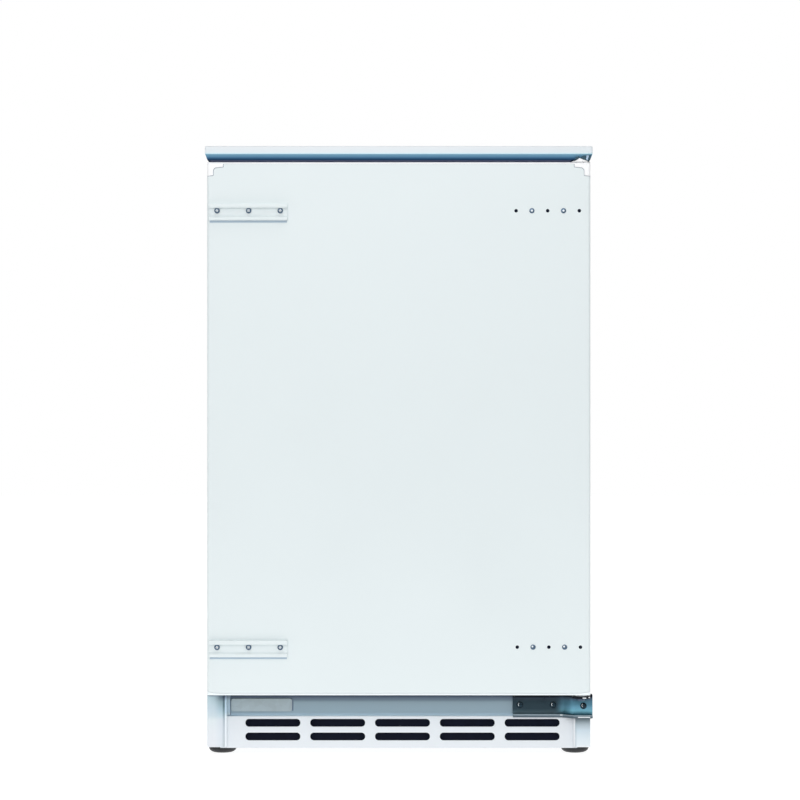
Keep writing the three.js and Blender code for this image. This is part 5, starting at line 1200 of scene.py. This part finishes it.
# The gasket's section: a foot, a bellows and the magnet's chamber.
g0, g1 = DOOR_Y1 + 0.3, MOUTH_Y - 0.3
gasket_profile = [(0, g0 + 0.2), (0.6, g0), (5, g0), (5.4, g0 + 0.8), (7.1, g0 + 0.8), (7.5, g0),
                  (11.9, g0), (12.5, g0 + 0.4), (12.3, g0 + 1.4), (10.6, g0 + 2.6), (12.2, g0 + 3.8),
                  (12.5, g0 + 5.4), (12.5, g1 - 0.9), (11.8, g1), (1.2, g1), (0.4, g1 - 0.9),
                  (0.3, g0 + 5.4), (2.2, g0 + 3.8), (0.2, g0 + 1.8)]
dress(frame_loop("gasket_bellows", -250, 250, 92, 806, gasket_profile, 3, 3), "door",
      "gasket_rubber", ["door_gasket"])


def rack_ring(x, back_y, inner_y, z_low, z_high, radius):
    """A ring of a door rack: square at the door, round inside, and lower along the door."""
    points = [(-x, back_y), (x, back_y), (x, back_y + 7), (x, back_y + 8.5)]
    points += arc(x - radius, inner_y - radius, radius, 0, 90, 7)
    points += arc(-x + radius, inner_y - radius, radius, 90, 180, 7)
    points += [(-x, back_y + 8.5), (-x, back_y + 7)]
    return [(a, b, z_low if b <= back_y + 7.01 else z_high) for a, b in points]


def rack(name, node, tall_back=15):
    """An open tray on the door, whose wall on the door's side is low."""
    (_, y0, z0), (x1, y1, z1) = box_mm(node)
    low = z0 + tall_back
    # Each ring: its inset at the sides and the inner wall, its inset at the door, its height along
    # the door and along the inner wall, and its corner radius.
    rings = [rack_ring(x1 - inset, y0 + back, y1 - inset, z_low, z_high, radius)
             for inset, back, z_low, z_high, radius in (
                 (3.4, 1.4, z0, z0, 11), (1.6, 0.2, z0 + 0.8, z0 + 0.8, 13),
                 (1.2, 0, z0 + 2.4, z0 + 2.4, 13), (0.8, 0, low - 3, z1 - 6, 13),
                 (0, 0, low - 2, z1 - 5, 14), (0, 0, low - 0.4, z1 - 0.5, 14),
                 (0.5, 0.4, low, z1, 13.6), (2.2, 2.0, low, z1, 12),
                 (2.7, 2.4, low - 0.5, z1 - 0.5, 11.4), (3.2, 2.5, z0 + 4.6, z0 + 4.6, 11),
                 (5, 4, z0 + 2.5, z0 + 2.5, 9))]
    parts = [loft(name, rings)]
    parts += [brick("line", -x1 + 24, x1 - 24, y1 - 1.5, y1 - 0.6, z, z + 1.4, 0.4, 2)
              for z in (z0 + 9, z1 - 14)]
    dress(merged(name, parts), "door", "clear_plastic", [node])


rack("rack_middle_tray", "middle_rack")
rack("rack_upper_tray", "upper_rack")
rack("rack_bottle_tray", "bottle_rack")
keep_node("bottle_retainer", 0.6, 2)

# ---------------------------------------------------------------------------- studio

def graded_light(owner, kind, near, far, low, high):
    """A light strength that changes from one value to another along Y."""
    return add_node(owner, "MapRange", {
        "Value": split_coords(owner, kind)["Y"], "From Min": near, "From Max": far,
        "To Min": low, "To Max": high}, interpolation_type="SMOOTHSTEP").outputs["Result"]


# The paper floor glows evenly under and behind the object, and fades towards the front.
floor_shade = surface("studio_floor", (0.2, 0.2, 0.2), 0.9, grain=20, bump=0, mottle=0.005, patch=1)
feed(floor_shade, floor_shade.node_tree.nodes["Principled BSDF"], {
    "Emission Color": (1, 1, 1, 1),
    "Emission Strength": graded_light(floor_shade, "Object", -1.5, -0.75, 0.25, 0.92)})
floor = brick("studio_floor", -12000, 12000, -12000, 12000, -20, 0)
floor.data.materials.append(floor_shade)

# A white backdrop all round, dimmer on the side that the object faces.
world = bpy.data.worlds.new("studio")
bpy.context.scene.world = world
world.use_nodes = True
feed(world, world.node_tree.nodes["Background"], {
    "Color": (1, 1, 1, 1), "Strength": graded_light(world, "Generated", 0.4, 0.95, 0.34, 1.0)})


def softbox(name, place, aim, wide, tall, power):
    data = bpy.data.lights.new(name, "AREA")
    data.shape = "RECTANGLE"
    data.size, data.size_y, data.energy = wide, tall, power
    light = bpy.data.objects.new(name, data)
    bpy.context.scene.collection.objects.link(light)
    light.location = place
    light.rotation_euler = (Vector(aim) - Vector(place)).to_track_quat("-Z", "Y").to_euler()
    return light


key = softbox("key_light", (-0.3, -3.0, 1.7), (0, 0, 0.45), 2.6, 2.2, 46)
top = softbox("top_light", (0.2, -1.1, 3.0), (0, -0.2, 0.6), 2.4, 1.4, 16)

camera_data = bpy.data.cameras.new("camera")
camera = bpy.data.objects.new("camera", camera_data)
bpy.context.scene.collection.objects.link(camera)
camera_data.sensor_width = 36
camera_data.lens = 145.4
camera.location = (0.0017, -4.743, 0.5)
camera.rotation_euler = (math.radians(90), 0, 0)
bpy.context.scene.camera = camera
bpy.context.scene.view_settings.view_transform = "Standard"
